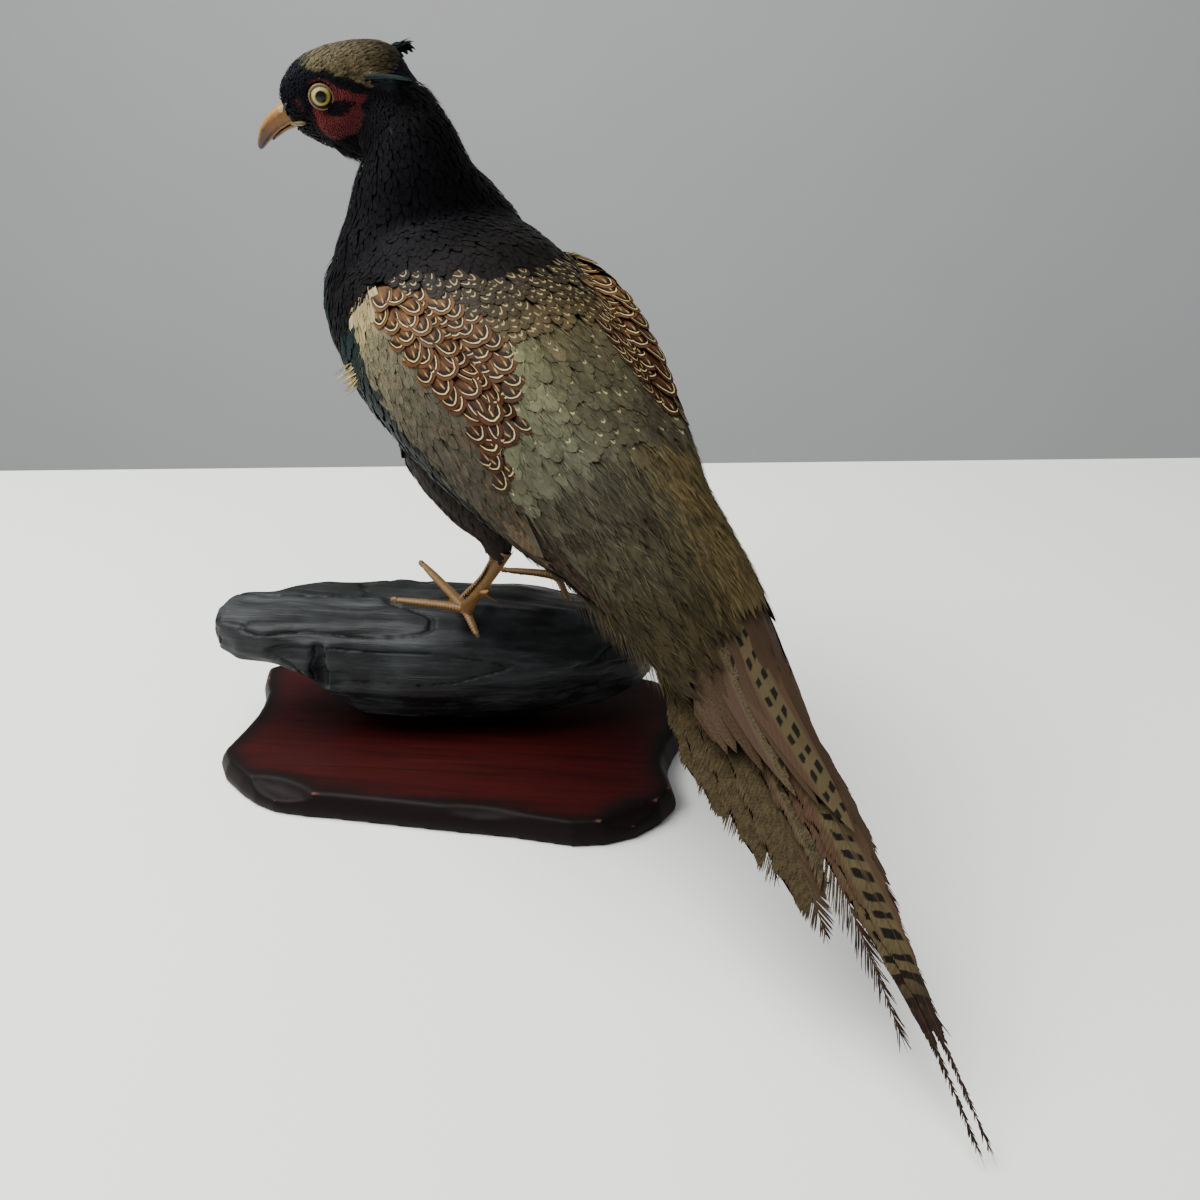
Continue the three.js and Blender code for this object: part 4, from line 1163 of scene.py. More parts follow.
def tail_plumage(name, marked):
    """Tail feather: olive-buff with black bars or blotches 8.7 mm apart, mauve-brown outer edge."""
    material, tree = finish_material(name)
    tone = node(tree, "Attribute", attribute_name="tone", out="Fac")
    vane = node(tree, "UVMap", uv_map="vane")
    across, down, _ = node(tree, "SeparateXYZ", vane).node.outputs
    place = node(tree, "TexCoord", out="Object")
    spread = node(tree, "VectorMath", vane, FLECKS, operation="MULTIPLY")
    fine = node(tree, "TexNoise", {"Vector": spread, "Scale": 1.0, "Detail": 2.0})
    soft = node(tree, "TexNoise", {"Vector": place, "Scale": cells(9.1), "Detail": 3.0})
    side = node(tree, "Math", across, 0.5, operation="SUBTRACT")
    far = node(tree, "Math", side, operation="ABSOLUTE")
    wobble = node(tree, "Math", soft, 0.8, down, operation="MULTIPLY_ADD")
    stagger = node(tree, "Math", side, 1.57, wobble, operation="MULTIPLY_ADD")
    beat = node(tree, "Math", stagger, operation="FRACT")
    bars = node(tree, "ValToRGB", beat, stops=((0.0, 0.0), (0.06, 1.0), (0.42, 1.0), (0.49, 0.0)))
    off_shaft = node(tree, "ValToRGB", far, stops=((0.0, 0.0), (0.03, 0.0), (0.05, 1.0)))
    bars_long = TAIL_S[-1] * marked["length"] / BAR_SPACING
    share = node(tree, "Math", down, 1 / bars_long, operation="MULTIPLY")
    low_down = node(tree, "ValToRGB", share, stops=((0.5, 0.0), (0.66, 1.0)))
    off_shaft = node(tree, "Math", off_shaft, low_down, operation="MAXIMUM")
    bars = node(tree, "Math", bars, off_shaft, operation="MULTIPLY")
    low, high = (paint(code) for code in marked["ground"])
    ground = node(tree, "Mix", {0: soft, 6: low, 7: high}, **COLOURS)
    edges = ((0.0, 1.0), (marked["right"] - 0.03, 1.0), (marked["right"] + 0.03, 0.0),
             (marked["left"], 0.0), (marked["left"] + 0.06, 1.0))
    margin = node(tree, "ValToRGB", across, stops=edges if marked["left"] > 0 else ((0.0, 1.0), (1.0, 1.0)))
    ground = node(tree, "Mix", {0: margin, 6: ground, 7: paint(marked["margin"])}, **COLOURS)
    within = ((0.0, 0.0), (marked["right"] + 0.02, 0.0), (marked["right"] + 0.05, 1.0),
              (marked["left"] - 0.05, 1.0), (marked["left"] - 0.02, 0.0))
    inner = node(tree, "ValToRGB", across, stops=within)
    flecks = node(tree, "ValToRGB", fine, stops=((0.5, 0.0), (0.57, marked["flecks"])))
    flecks = node(tree, "Math", flecks, inner, operation="MULTIPLY")
    colour = node(tree, "Mix", {0: flecks, 6: ground, 7: paint("#2b2118")}, **COLOURS)
    strong = node(tree, "ValToRGB", share, stops=marked["bars"])
    mask = node(tree, "Math", bars, inner, operation="MULTIPLY")
    mask = node(tree, "Math", mask, strong, operation="MULTIPLY")
    colour = node(tree, "Mix", {0: mask, 6: colour, 7: paint("#17130f")}, **COLOURS)
    tip = node(tree, "ValToRGB", share,
               stops=((0.0, 0.0), (marked["dark_from"], 0.0), (marked["dark_from"] + 0.07, 0.95)))
    colour = node(tree, "Mix", {0: tip, 6: colour, 7: paint("#271b16")}, **COLOURS)
    level = node(tree, "Math", tone, 0.12, 0.94, operation="MULTIPLY_ADD")
    colour = node(tree, "VectorMath", {0: colour, "Scale": level}, operation="SCALE")
    barb = node(tree, "Math", far, -4.2, down, operation="MULTIPLY_ADD")
    barb = node(tree, "Math", barb, 62.0, operation="MULTIPLY")
    barb = node(tree, "Math", barb, operation="SINE")
    return surfaced(material, colour, 0.5, {"Specular IOR Level": 0.12}, (0.25, 0.0002, barb))


MATERIALS["shaft"] = plumage("horn-brown quill", 3, 0.1, 0.05, 0.35, 0.3)
TAIL_MARKS = {
    "middle": tail_plumage("barred middle tail feather", {
        "left": 0.72, "right": 0.34, "margin": "#483628", "flecks": 0.0, "dark_from": 0.73, "length": 1.0,
        "ground": ("#473d29", "#584e36"), "bars": ((0.0, 1.0), (1.0, 1.0))}),
    "second": tail_plumage("vermiculated second tail feather", {
        "left": 0.78, "right": 0.42, "margin": "#443428", "flecks": 0.75, "dark_from": 0.74, "length": 0.84,
        "ground": ("#443b28", "#574d38"), "bars": ((0.2, 0.95), (0.5, 0.8), (0.6, 0.15), (0.78, 0.7))}),
    "outer": tail_plumage("vermiculated outer tail feather", {
        "left": 0.92, "right": 0.42, "margin": "#423427", "flecks": 0.65, "dark_from": 0.9, "length": 0.68,
        "ground": ("#3f3623", "#4c422d"), "bars": ((0.0, 0.3), (0.5, 0.1))}),
    "flank": tail_plumage("vermiculated brown covert", {
        "left": 0.97, "right": 0.0, "margin": "#3b3020", "flecks": 0.75, "dark_from": 0.9, "length": 1.0,
        "ground": ("#382a19", "#443420"), "bars": ((0.0, 0.0), (1.0, 0.0))}),
    "plain": tail_plumage("mauve-brown tail covert", {
        "left": 0.0, "right": 1.0, "margin": "#3e2f22", "flecks": 0.0, "dark_from": 0.9, "length": 1.0,
        "ground": ("#3e2f22", "#463629"), "bars": ((0.0, 0.0), (1.0, 0.0))}),
}

# The long coverts over the roots of the tail: along the guide and round it, length, width, lift, kind.
TAIL_COVERTS = (
    (350, -150, 62, 16, 1.6, "plain"), (350, -128, 70, 17, 1.7, "plain"), (352, -106, 80, 18, 1.8, "plain"),
    (352, -86, 92, 19, 1.9, "plain"), (352, -66, 102, 20, 2.0, "plain"), (352, -46, 110, 20, 2.1, "plain"),
    (354, -28, 118, 20, 2.2, "plain"), (352, 22, 106, 18, 2.1, "second"), (354, 44, 98, 18, 2.0, "flank"),
    (354, 64, 92, 18, 1.9, "flank"), (352, 84, 84, 17, 1.8, "flank"), (352, 104, 76, 17, 1.7, "flank"),
    (350, 126, 68, 16, 1.6, "flank"), (350, 148, 60, 16, 1.6, "flank"),
    (366, -96, 74, 17, 2.6, "plain"), (368, -74, 86, 18, 2.8, "plain"), (368, -54, 98, 19, 3.0, "plain"),
    (370, -34, 112, 19, 3.2, "plain"), (372, -19, 122, 17, 3.4, "plain"), (372, 17, 116, 13, 3.6, "plain"),
    (370, 33, 108, 18, 3.3, "second"), (370, 52, 92, 17, 3.1, "flank"), (368, 72, 84, 17, 2.9, "flank"),
    (366, 92, 84, 17, 2.4, "flank"), (366, 112, 78, 17, 2.0, "flank"),
    (368, 130, 66, 16, 1.8, "flank"), (372, -4, 130, 24, 4.6, "middle"),
)


RUMP_END = -186                         # along the bird, where the long coverts leave the skin


def over_tail(lines, ups):
    """Past the rump's end the long coverts sink on to the tail behind it."""
    for line, up in zip(lines, ups):
        run = run_along(line)
        past = np.flatnonzero(line[:, 0] < RUMP_END)
        if not len(past):
            continue
        last = past[0] - 1
        away = run[past[0]:] - run[last]
        x = line[last, 0] - 0.87 * away
        y = line[last, 1] * (1 + away * 0.002)
        fall = 1.0 - 0.34 * np.abs(y + 5) - 0.013 * (y + 5)**2
        height = np.interp(-x, -TAIL_LINE[:, 0], TAIL_LINE[:, 2]) + fall
        excess = line[last, 2] - np.interp(-line[last, 0], -TAIL_LINE[:, 0], TAIL_LINE[:, 2]) - fall[0]
        line[past[0]:, 0] = x
        line[past[0]:, 1] = y
        line[past[0]:, 2] = height + excess * np.exp(-away / 18)
        up[past[0]:] = unit(0.5 * up[last] + 0.5 * np.array([-0.49, 0, 0.87]))


def tail_coverts(kind):
    """The long coverts of one marking, from the rump over the tail."""
    rows = np.array([row[:5] for row in TAIL_COVERTS if row[5] == kind], float)
    s, angle, _ = along_guide(hide.points)
    gap = (s[None] - rows[:, :1])**2 + (0.4 * (angle[None] - rows[:, 1:2]))**2
    verts = gap.argmin(1)
    roots, normals = hide.points[verts], hide.normals[verts]
    _, _, tailward = along_guide(roots)
    shares = np.append(np.linspace(0, 0.97, 15), 1.0)
    lines, ups = hide.lay(roots, normals, rump_end_flow(roots, tailward), rows[:, 2], shares)
    over_tail(lines, ups)
    rise = rows[:, 4:5] * (1 - (1 - shares)**3)
    lines = lines + ups * rise[:, :, None]
    profile = np.interp(shares, (0, 0.25, 0.5, 0.8, 0.95, 1), (0.4, 1, 0.95, 0.55, 0.2, 0))
    widths = 0.5 * rows[:, 3:4] * profile

    def on_feather(u, v):
        """Pattern places: across in vane units, along in dark bars."""
        per = len(u) // len(rows)
        length, width = np.repeat(rows[:, 2:4], per, 0).T
        return np.column_stack([0.5 + (u - 0.5) * width / VANE_UNIT, v * length / BAR_SPACING])

    strips("tail_coverts_" + kind, lines, ups, widths, 0.26, np.full(widths.shape, 0.18),
           np.tile(linear(COVERT_BROWN), (len(rows), 1)), chance.random(len(rows)), roots,
           TAIL_MARKS[kind], vane=on_feather)


def make_tail():
    """Every quill's barbs, then the sheets, the shafts and the coverts over them."""
    groups = {"middle": [], "second": [], "outer": []}
    for pair in range(6):
        kind = "middle" if pair == 0 else "second" if pair == 1 else "outer"
        for sign in (1, -1):
            quill = Quill(pair, sign)
            order = 2 * pair + (sign < 0)
            loose_from, whisker = ((0.8, 2.2), (0.6, 8.0), (0.86, 3.0))[min(pair, 2)]
            quill.barbs(TAIL_MARKS[kind], loose_from, order, whisker)
            groups[kind].append((quill, order, loose_from + 0.05))
    tail_webs(groups, TAIL_MARKS)
    tail_shafts(groups["middle"] + groups["second"] + groups["outer"])
    for kind in sorted({row[5] for row in TAIL_COVERTS}):
        tail_coverts(kind)


# ---- Head: ear tufts, bill, eyes, lids and wattle -----------------------------------------------

def ear_tuft(side, sign):
    """A brush of narrow curved feathers along the tuft's line."""
    line = smooth_line(EAR_TUFTS[side][::-1], 6)
    share = np.linspace(0, 1, 9)
    run = np.linspace(0, len(line) - 1, 9)
    centre = resampled(line, np.arange(len(line)), run)
    count = 90
    angle, radius = chance.uniform(0, 2 * np.pi, count), np.sqrt(chance.random(count))
    spread = np.interp(share, (0, 0.35, 0.75, 1), (1.6, 3.0, 2.6, 2.2))
    offset = np.stack([0 * angle, np.cos(angle) * radius * 0.8, np.sin(angle) * radius], 1)
    lines = centre[None] + offset[:, None] * spread[None, :, None]
    start = chance.uniform(0, 0.45, count)[:, None]
    reach = chance.uniform(0.72, 1.03, count)[:, None]
    at = start + (reach - start) * share
    lines = np.stack([resampled(line, share, places) for line, places in zip(lines, at)])
    outward = unit(offset + np.array([0, 0.15 * sign, 0.3]))
    ups = np.repeat(outward[:, None], 9, 1)
    lines, ups = from_head(lines), ups @ HEAD_AXES.T
    widths = 0.6 * np.array([0.5, 0.8, 1, 1, 1, 0.9, 0.7, 0.4, 0]) * chance.uniform(0.7, 1.2, (count, 1))
    # Feathers that face up are tinted teal: painted sheen where the light from above catches their gloss;
    # the rest stay black.
    shades = np.where(outward[:, 2:3] > 0.6, linear("#141d1b"), linear("#0b0c0d"))
    strips("ear_tuft_feathers_" + side, lines, ups, widths, 0.1, widths * 0.15, shades,
           chance.random(count), lines[:, 0], MATERIALS["black"])


def drawn_out(name, path, radii, flat=1.0, up=(0, 0, 1)):
    """A closed tapering horn along a path: a sphere drawn out, rings set by the radii."""
    work = bmesh.new()
    bmesh.ops.create_uvsphere(work, u_segments=12, v_segments=14, radius=1)
    line = smooth_line(path, 8)
    run = np.linspace(0, 1, len(line))
    widths = np.interp(run, np.linspace(0, 1, len(radii)), radii)
    ahead = unit(np.gradient(line, axis=0))
    for vert in work.verts:
        share = math.acos(max(-1, min(1, -vert.co.z))) / math.pi
        ring = math.hypot(vert.co.x, vert.co.y)
        cap = min(1.0, math.sin(math.pi * share) * 4)
        middle = resampled(line, run, share)
        along = unit(resampled(ahead, run, share))
        left = unit(np.cross(np.array(up, float), along))
        over = np.cross(along, left)
        size = np.interp(share, run, widths) * cap
        if ring > 1e-6:
            middle = middle + (left * vert.co.x * flat + over * vert.co.y) / ring * size
        vert.co = to_part(middle[None])[0]
    bmesh.ops.recalc_face_normals(work, faces=work.faces)
    return link_work(name, work)


def horn_material(name, rough, coat, streaks):
    """Keratin horn under thin varnish: smooth, faintly streaked along its growth."""
    material, tree = finish_material(name)
    mark = node(tree, "Attribute", attribute_name="marking")
    place = node(tree, "TexCoord", out="Object")
    streak = node(tree, "TexNoise",
                  {"Vector": place, "Scale": cells(streaks), "Detail": 4.0, "Distortion": 0.4})
    level = node(tree, "Math", streak, 0.7, 0.65, operation="MULTIPLY_ADD")
    colour = node(tree, "VectorMath", {0: mark, "Scale": level}, operation="SCALE")
    varnish = {"Specular IOR Level": 0.2, "Coat Weight": coat, "Coat Roughness": 0.12, "IOR": 1.55}
    return surfaced(material, colour, rough, varnish, (0.25, 0.0002, streak))


CULMEN = ((20, 4.4), (27, 3.9), (35, 1.9), (42.5, -2.6), (48, -9))   # the bill's ridge, in side view


def horn_piece(name, path, radii, colour, material, **shape):
    """A small horn of one colour on the head, along a path in the head's frame."""
    made = drawn_out(name, from_head(path), radii, **shape)
    add_values(made.data, "marking", np.tile(linear(colour), (len(made.data.vertices), 1)))
    settle(made, material)


def make_bill(material):
    """Both halves of the bill, the flaps over the nostrils and the folds of the gape."""
    for name in ("bill_upper", "bill_lower"):
        mesh = remeshed(merged_copy([name], 0.0), 0.00042)
        points, _, edges = arrays_of(mesh)
        bird = relaxed(to_bird(points), edges, 8)
        place_points(mesh, to_part(bird))
        x, _, z = to_head(bird).T
        colour = graded(x, ((18, "#5c4a28"), (26, "#6a4a1c"), (34, "#684016"), (42, "#45260f"),
                            (48, "#231410")))
        # A pale band along the ridge is painted highlight, where the light from above catches it.
        culmen_highlight = np.clip((z - np.interp(x, *zip(*CULMEN))) / 1.4, 0, 1)[:, None]
        colour = colour * (1 - culmen_highlight * 0.6) + linear("#9a7c36") * culmen_highlight * 0.6
        gape = (np.clip(1 - np.abs(z + 3.8) / 1.2, 0, 1) * np.clip((27 - x) / 5, 0, 1))[:, None]
        add_values(mesh, "marking", colour * (1 - gape) + linear("#7d6b38") * gape)
        settle(link_mesh(name + "_horn", mesh), material, (name,))
    for side, sign in SIDES.items():
        horn_piece("nostril_flap_" + side,
                   [(22.4, 8.0 * sign, 8.2), (24.6, 7.3 * sign, 6.2), (27.2, 6.0 * sign, 3.6)],
                   (1.0, 2.2, 2.1, 0.8), "#211a13", material, flat=0.4, up=HEAD_AXES[:, 1] * sign)
        horn_piece("gape_fold_" + side,
                   [(17.6, 12.6 * sign, -3.4), (21.5, 11.4 * sign, -2.8), (26.5, 8.2 * sign, -2.4)],
                   (0.5, 1.3, 1.2, 0.4), "#5c4c28", material, up=HEAD_AXES[:, 2])


def glass_eye_material():
    """A taxidermist's glass eye: painted iris and pupil under clear polished glass."""
    material, tree = finish_material("painted glass eye")
    vane = node(tree, "UVMap", uv_map="iris")
    centred = node(tree, "VectorMath", vane, (0.5, 0.5, 0), operation="SUBTRACT")
    away = node(tree, "VectorMath", centred, operation="LENGTH", out="Value")
    rays = node(tree, "TexNoise", {"Vector": vane, "Scale": 40.0, "Detail": 3.0})
    # The map is 20 mm wide: the pupil's edge at 0.138 lies 2.75 mm out, the iris's at 0.23 4.6 mm.
    rings = ((0.0, "#020202"), (0.132, "#030303"), (0.145, "#6a6224"), (0.19, "#a3973a"),
             (0.222, "#857628"), (0.24, "#3c3414"), (0.27, "#120f09"))
    ring = node(tree, "ValToRGB", away, stops=rings)
    # Paler above, as the lids' shadow and the room's light make it in the glass.
    tall = node(tree, "SeparateXYZ", centred, out=1)
    pale = node(tree, "ValToRGB", node(tree, "Math", tall, 0.5, operation="ADD"),
                stops=((0.5, 0.0), (0.66, 0.8)))
    iris = node(tree, "ValToRGB", away, stops=((0.132, 0.0), (0.15, 1.0), (0.222, 1.0), (0.24, 0.0)))
    pale = node(tree, "Math", pale, iris, operation="MULTIPLY")
    level = node(tree, "Math", rays, 0.5, 0.75, operation="MULTIPLY_ADD")
    painted = node(tree, "Mix", {0: pale, 6: ring, 7: paint("#a89c6a")}, **COLOURS)
    colour = node(tree, "VectorMath", {0: painted, "Scale": level}, operation="SCALE")
    clear = {"Specular IOR Level": 0.1, "Coat Weight": 0.35, "Coat Roughness": 0.04, "Coat IOR": 1.5}
    return surfaced(material, colour, 0.5, clear)


def eyelid_material():
    """Dried eyelid skin, painted tan: dull, with fine wrinkles."""
    material, tree = finish_material("tan eyelid skin")
    place = node(tree, "TexCoord", out="Object")
    fine = node(tree, "TexNoise", {"Vector": place, "Scale": cells(1.11), "Detail": 3.0})
    colour = node(tree, "Mix", {0: fine, 6: paint("#543e29"), 7: paint("#7b6243")}, **COLOURS)
    waxy = {"Subsurface Weight": 0.08, "Subsurface Radius": (0.002, 0.0008, 0.0005)}
    return surfaced(material, colour, 0.6, waxy, (0.5, 0.0002, fine))


LID_REACH = (5.75, 6.35)                # half the lid opening's width and height, to the rim's middle
LID_THICK = 0.62
LID_RING = 6                            # radius of the ring that the lid is bent from
IRIS_MAP = 20                           # width of the iris's map


def make_eyes(glass, lid_skin):
    """Each glass eye and the wrinkled ring of the lid round it."""
    for side, sign in SIDES.items():
        centre = np.array([EYE_AT[0], EYE_AT[1] * sign, EYE_AT[2]])
        work = bmesh.new()
        bmesh.ops.create_uvsphere(work, u_segments=40, v_segments=28, radius=EYE_RADIUS - 0.15)
        upright = Matrix.Rotation(math.radians(90), 3, "X")
        bmesh.ops.rotate(work, verts=work.verts, cent=(0, 0, 0), matrix=upright)
        layer = work.loops.layers.uv.new("iris")
        for face in work.faces:
            for loop in face.loops:
                x, _, z = loop.vert.co
                loop[layer].uv = (0.5 + (x + 0.4) / IRIS_MAP, 0.5 + (z - 1.3) / IRIS_MAP)
        for vert in work.verts:
            vert.co = Vector(to_part(from_head(np.array(vert.co)[None] + centre))[0])
        bmesh.ops.recalc_face_normals(work, faces=work.faces)
        settle(link_work("glass_eye_" + side, work), glass, ("eye_" + side,))

        work = bmesh.new()
        bmesh.ops.create_circle(work, segments=12, radius=LID_THICK)
        for vert in work.verts:
            vert.co = Vector((LID_RING + vert.co.x, 0, vert.co.y))
        bmesh.ops.spin(work, geom=work.verts[:] + work.edges[:], cent=(0, 0, 0), axis=(0, 0, 1),
                       angle=2 * math.pi, steps=64, use_merge=True)
        out = math.sqrt(max(0.5, (EYE_RADIUS + 0.25)**2 - (LID_REACH[0] + 0.35)**2))
        for vert in work.verts:
            angle = math.atan2(vert.co.y, vert.co.x)
            tube = math.hypot(vert.co.x, vert.co.y) - LID_RING
            crinkle = 1 + 0.1 * math.sin(23 * angle) + 0.08 * math.sin(37 * angle + 1)
            wide = LID_REACH[0] + tube * crinkle
            tall = LID_REACH[1] + tube * crinkle
            spot = centre + (wide * math.cos(angle), (out + vert.co.z * crinkle) * sign,
                             tall * math.sin(angle))
            vert.co = Vector(to_part(from_head(spot[None]))[0])
        bmesh.ops.recalc_face_normals(work, faces=work.faces)
        settle(link_work("eyelid_" + side, work), lid_skin)


def papillae(material):
    """The wattle's round papillae, a millimetre apart, as low closed domes."""
    roots, colours, normals = hide.roots(("wattle",), 0.95)
    head = to_head(roots)
    eye_gap = np.hypot((head[:, 0] - EYE_AT[0]) / 6.9, (head[:, 2] - EYE_AT[2]) / 7.4)
    keep = (eye_gap > 1) | (np.abs(head[:, 1]) < 8)
    roots, colours, normals = roots[keep], colours[keep], normals[keep]
    count = len(roots)
    turns = np.linspace(0, 2 * np.pi, 6, endpoint=False)
    east = unit(np.cross(normals, [0.3, 0.2, 1]))
    north = np.cross(normals, east)
    ring = east[:, None] * np.cos(turns)[None, :, None] + north[:, None] * np.sin(turns)[None, :, None]
    size = chance.uniform(0.48, 0.66, (count, 1, 1))
    low = roots[:, None] + ring * size - normals[:, None] * 0.25
    mid = roots[:, None] + ring * size * 0.72 + normals[:, None] * 0.38
    top = roots[:, None] + normals[:, None] * chance.uniform(0.6, 0.8, (count, 1, 1))
    points = np.concatenate([low, mid, top], 1).reshape(-1, 3)
    tones = chance.random(count)
    shades = colours * (0.75 + 0.5 * tones[:, None])
    local = np.vstack([np.column_stack([np.cos(turns), np.sin(turns)]) * 0.5,
                       np.column_stack([np.cos(turns), np.sin(turns)]) * 0.35, [[0, 0]]])
    bake = np.repeat(unwrapped(roots), 13, 0) + BAKE_PATCH * np.tile(local, (count, 1))
    piece("wattle_papillae", points, tube_faces(count, 3, 6), material,
          maps={"OFBake": bake}, marks=np.repeat(shades, 13, 0), tone=np.repeat(tones, 13))


def wattle_material():
    """Dull dark red papillate skin, dried; its tops catch a little light."""
    material, tree = finish_material("papillate wattle skin")
    mark = node(tree, "Attribute", attribute_name="marking")
    place = node(tree, "TexCoord", out="Object")
    fine = node(tree, "TexNoise", {"Vector": place, "Scale": cells(1.11), "Detail": 2.0})
    level = node(tree, "Math", fine, 0.9, 0.5, operation="MULTIPLY_ADD")
    colour = node(tree, "VectorMath", {0: mark, "Scale": level}, operation="SCALE")
    return surfaced(material, colour, 0.5, {"Specular IOR Level": 0.15})


# ---- Legs: scutes, claws and spurs --------------------------------------------------------------

def cad_tree(name):
    """A CAD node as a tree to cast rays at, in the bird's frame."""
    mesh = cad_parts[name].data
    corners = to_bird(np.array([v.co for v in mesh.vertices]))
    return BVHTree.FromPolygons(corners.tolist(), [tuple(p.vertices) for p in mesh.polygons])


FOOT_TREES = {side: cad_tree("foot_" + side) for side in SIDES}


def on_toe(side, spot):
    """Lifts a place to the middle of the CAD toe there, found by rays from above and below."""
    far = Vector((0, 0, 40))
    top = FOOT_TREES[side].ray_cast(Vector(spot) + far, -far)[0]
    low = FOOT_TREES[side].ray_cast(Vector(spot) - far, far)[0]
    return (spot[0], spot[1], (top.z + low.z) / 2 if top and low else spot[2])


def leg_lines(side):
    """The foot, the hock, and each toe's line, radii and heading."""
    foot = np.array(FEET[side])
    hock = foot + (-math.sin(TARSUS_LEAN) * TARSUS_LENGTH, 0, math.cos(TARSUS_LEAN) * TARSUS_LENGTH)
    hock[1] = HOCK_APART * SIDES[side]
    lines = {}
    for name, (length, out, radius) in TOES.items():
        angle = math.radians(out if side == "left" else -out - RIGHT_FOOT_TURN)
        heading = np.array([math.cos(angle), math.sin(angle), 0])
        path = np.array([on_toe(side, foot + heading * length * share) for share, _ in TOE_STATIONS])
        lines[name] = (path, np.array([radius * r for _, r in TOE_STATIONS]), heading)
    return foot, hock, lines


SCUTE_PITCH = 1.9


def scutes(side, material):
    """Overlapping horny plates over the front of the shank and the top of each toe."""
    foot, hock, toes = leg_lines(side)
    lines, ups, widths = [], [], []
    arc = np.linspace(-1, 1, 9)

    def plates(path, radii, over, half_arc, pitch, lift):
        """Plates along a path, each bent round the side that faces over."""
        fine = smooth_line(path, 12)
        run = run_along(fine)
        for at in np.arange(pitch, run[-1] - pitch * 0.3, pitch):
            middle = resampled(fine, run, at)
            ahead = unit(resampled(fine, run, at + 0.5) - middle)
            radius = np.interp(at / run[-1], np.linspace(0, 1, len(radii)), radii)
            up = unit(over - ahead * (over @ ahead))
            left = np.cross(up, ahead)
            angles = arc * math.radians(half_arc)
            radial = up * np.cos(angles)[:, None] + left * np.sin(angles)[:, None]
            lines.append(middle + radial * (radius + lift))
            ups.append(radial)
            widths.append(pitch * 0.56 * np.array([0.5, 0.9, 1, 1, 1, 1, 1, 0.9, 0]))

    for path, radii, _ in toes.values():
        plates(path, radii, np.array([0, 0, 1.0]), 80, SCUTE_PITCH, 0.02)
    shank = [hock, hock + (foot - hock) * 0.5, foot + (0, 0, 6)]
    front = unit(np.array([1.0, 0, 0.2]))
    plates(shank, (4.4, 3.5, 3.9), front, 88, 2.6, 0.1)
    plates(shank, (4.4, 3.5, 3.9), -front, 70, 2.2, 0.05)
    lines, ups, widths = np.stack(lines), np.stack(ups), np.stack(widths)
    roots = lines[:, 4]
    colours = graded(roots[:, 2], ((88, "#624825"), (104, "#6c5029"), (140, "#523a20")))
    place = np.column_stack([np.linspace(0.05, 0.95, len(lines)),
                             np.full(len(lines), 0.25 if side == "left" else 0.75)])
    strips("scutes_" + side, lines, ups, widths, 0.0, np.full(widths.shape, 0.22), colours,
           chance.random(len(lines)), roots, material, relief=0.25, place=place)


def claws(side, material):
    """Blunt dark claws on the toes, and the spur behind the shank."""
    foot, hock, toes = leg_lines(side)
    for name, (path, radii, heading) in toes.items():
        end, size = path[-1], radii[-1]
        tip = end + heading * TOES[name][0] * 0.06
        line = [end - heading * 1.5 + (0, 0, 0.2), (end + tip) / 2 + (0, 0, 0.5), tip + (0, 0, -1.2)]
        made = drawn_out(f"claw_{name}_{side}", line, size * np.array([1.05, 1, 0.85, 0.5]), flat=0.8)
        shades = graded(np.linspace(0, 1, len(made.data.vertices)), ((0, "#6b5030"), (1, "#33241a")))
        add_values(made.data, "marking", shades)
        settle(made, material)
    root = hock + (foot - hock) * 0.62
    spur = drawn_out("spur_" + side, [root + (-1.5, 0, 0), root + (-5.5, 0, 0.5), root + (-9.5, 0, 2.4)],
                     (2.2, 1.7, 0.9, 0.2))
    add_values(spur.data, "marking", np.tile(linear("#8a6a42"), (len(spur.data.vertices), 1)))
    settle(spur, material)


# ---- Stand: driftwood log and lacquered plaque --------------------------------------------------

def wood_noise(points, sizes, shift=(0, 0, 0)):
    """Noise in patches of these sizes: along the log, across it and up."""
    places = points / sizes + shift
    return np.array([noise.noise(Vector(p)) for p in places.tolist()])


def make_log(material):
    """Weathered wood: long grooves and ridges along it, cut by a few cracks."""
    mesh = remeshed(merged_copy(["stand_log"], 0.0), 0.0014)
    points, _, edges = arrays_of(mesh)
    points = relaxed(points * 1000, edges, 8)
    place_points(mesh, points * 0.001)
    normals, tall = arrays_of(mesh)[1], points[:, 2]
    coarse = wood_noise(points, (95, 24, 12))
    fine = wood_noise(points, (60, 5.5, 3.6), (0, 0, 7))
    crack = wood_noise(points, (120, 20, 13), (3, 0, 0))
    groove = np.exp(-(crack / 0.022)**2)
    flat = np.clip((tall - 17) / 6, 0, 1)
    shift = (coarse * 1.3 + fine * 0.8 - groove * 1.7 - 0.7) * flat
    place_points(mesh, (points + normals * shift[:, None]) * 0.001)
    # The tone is lighter on the ridges and darker in the cracks: painted highlight and painted shade for the
    # colour.
    add_values(mesh, "tone", np.clip(0.5 + fine * 0.5 + coarse * 0.5 - groove, 0, 1))
    settle(link_mesh("driftwood_log", mesh), material, ("stand_log",))


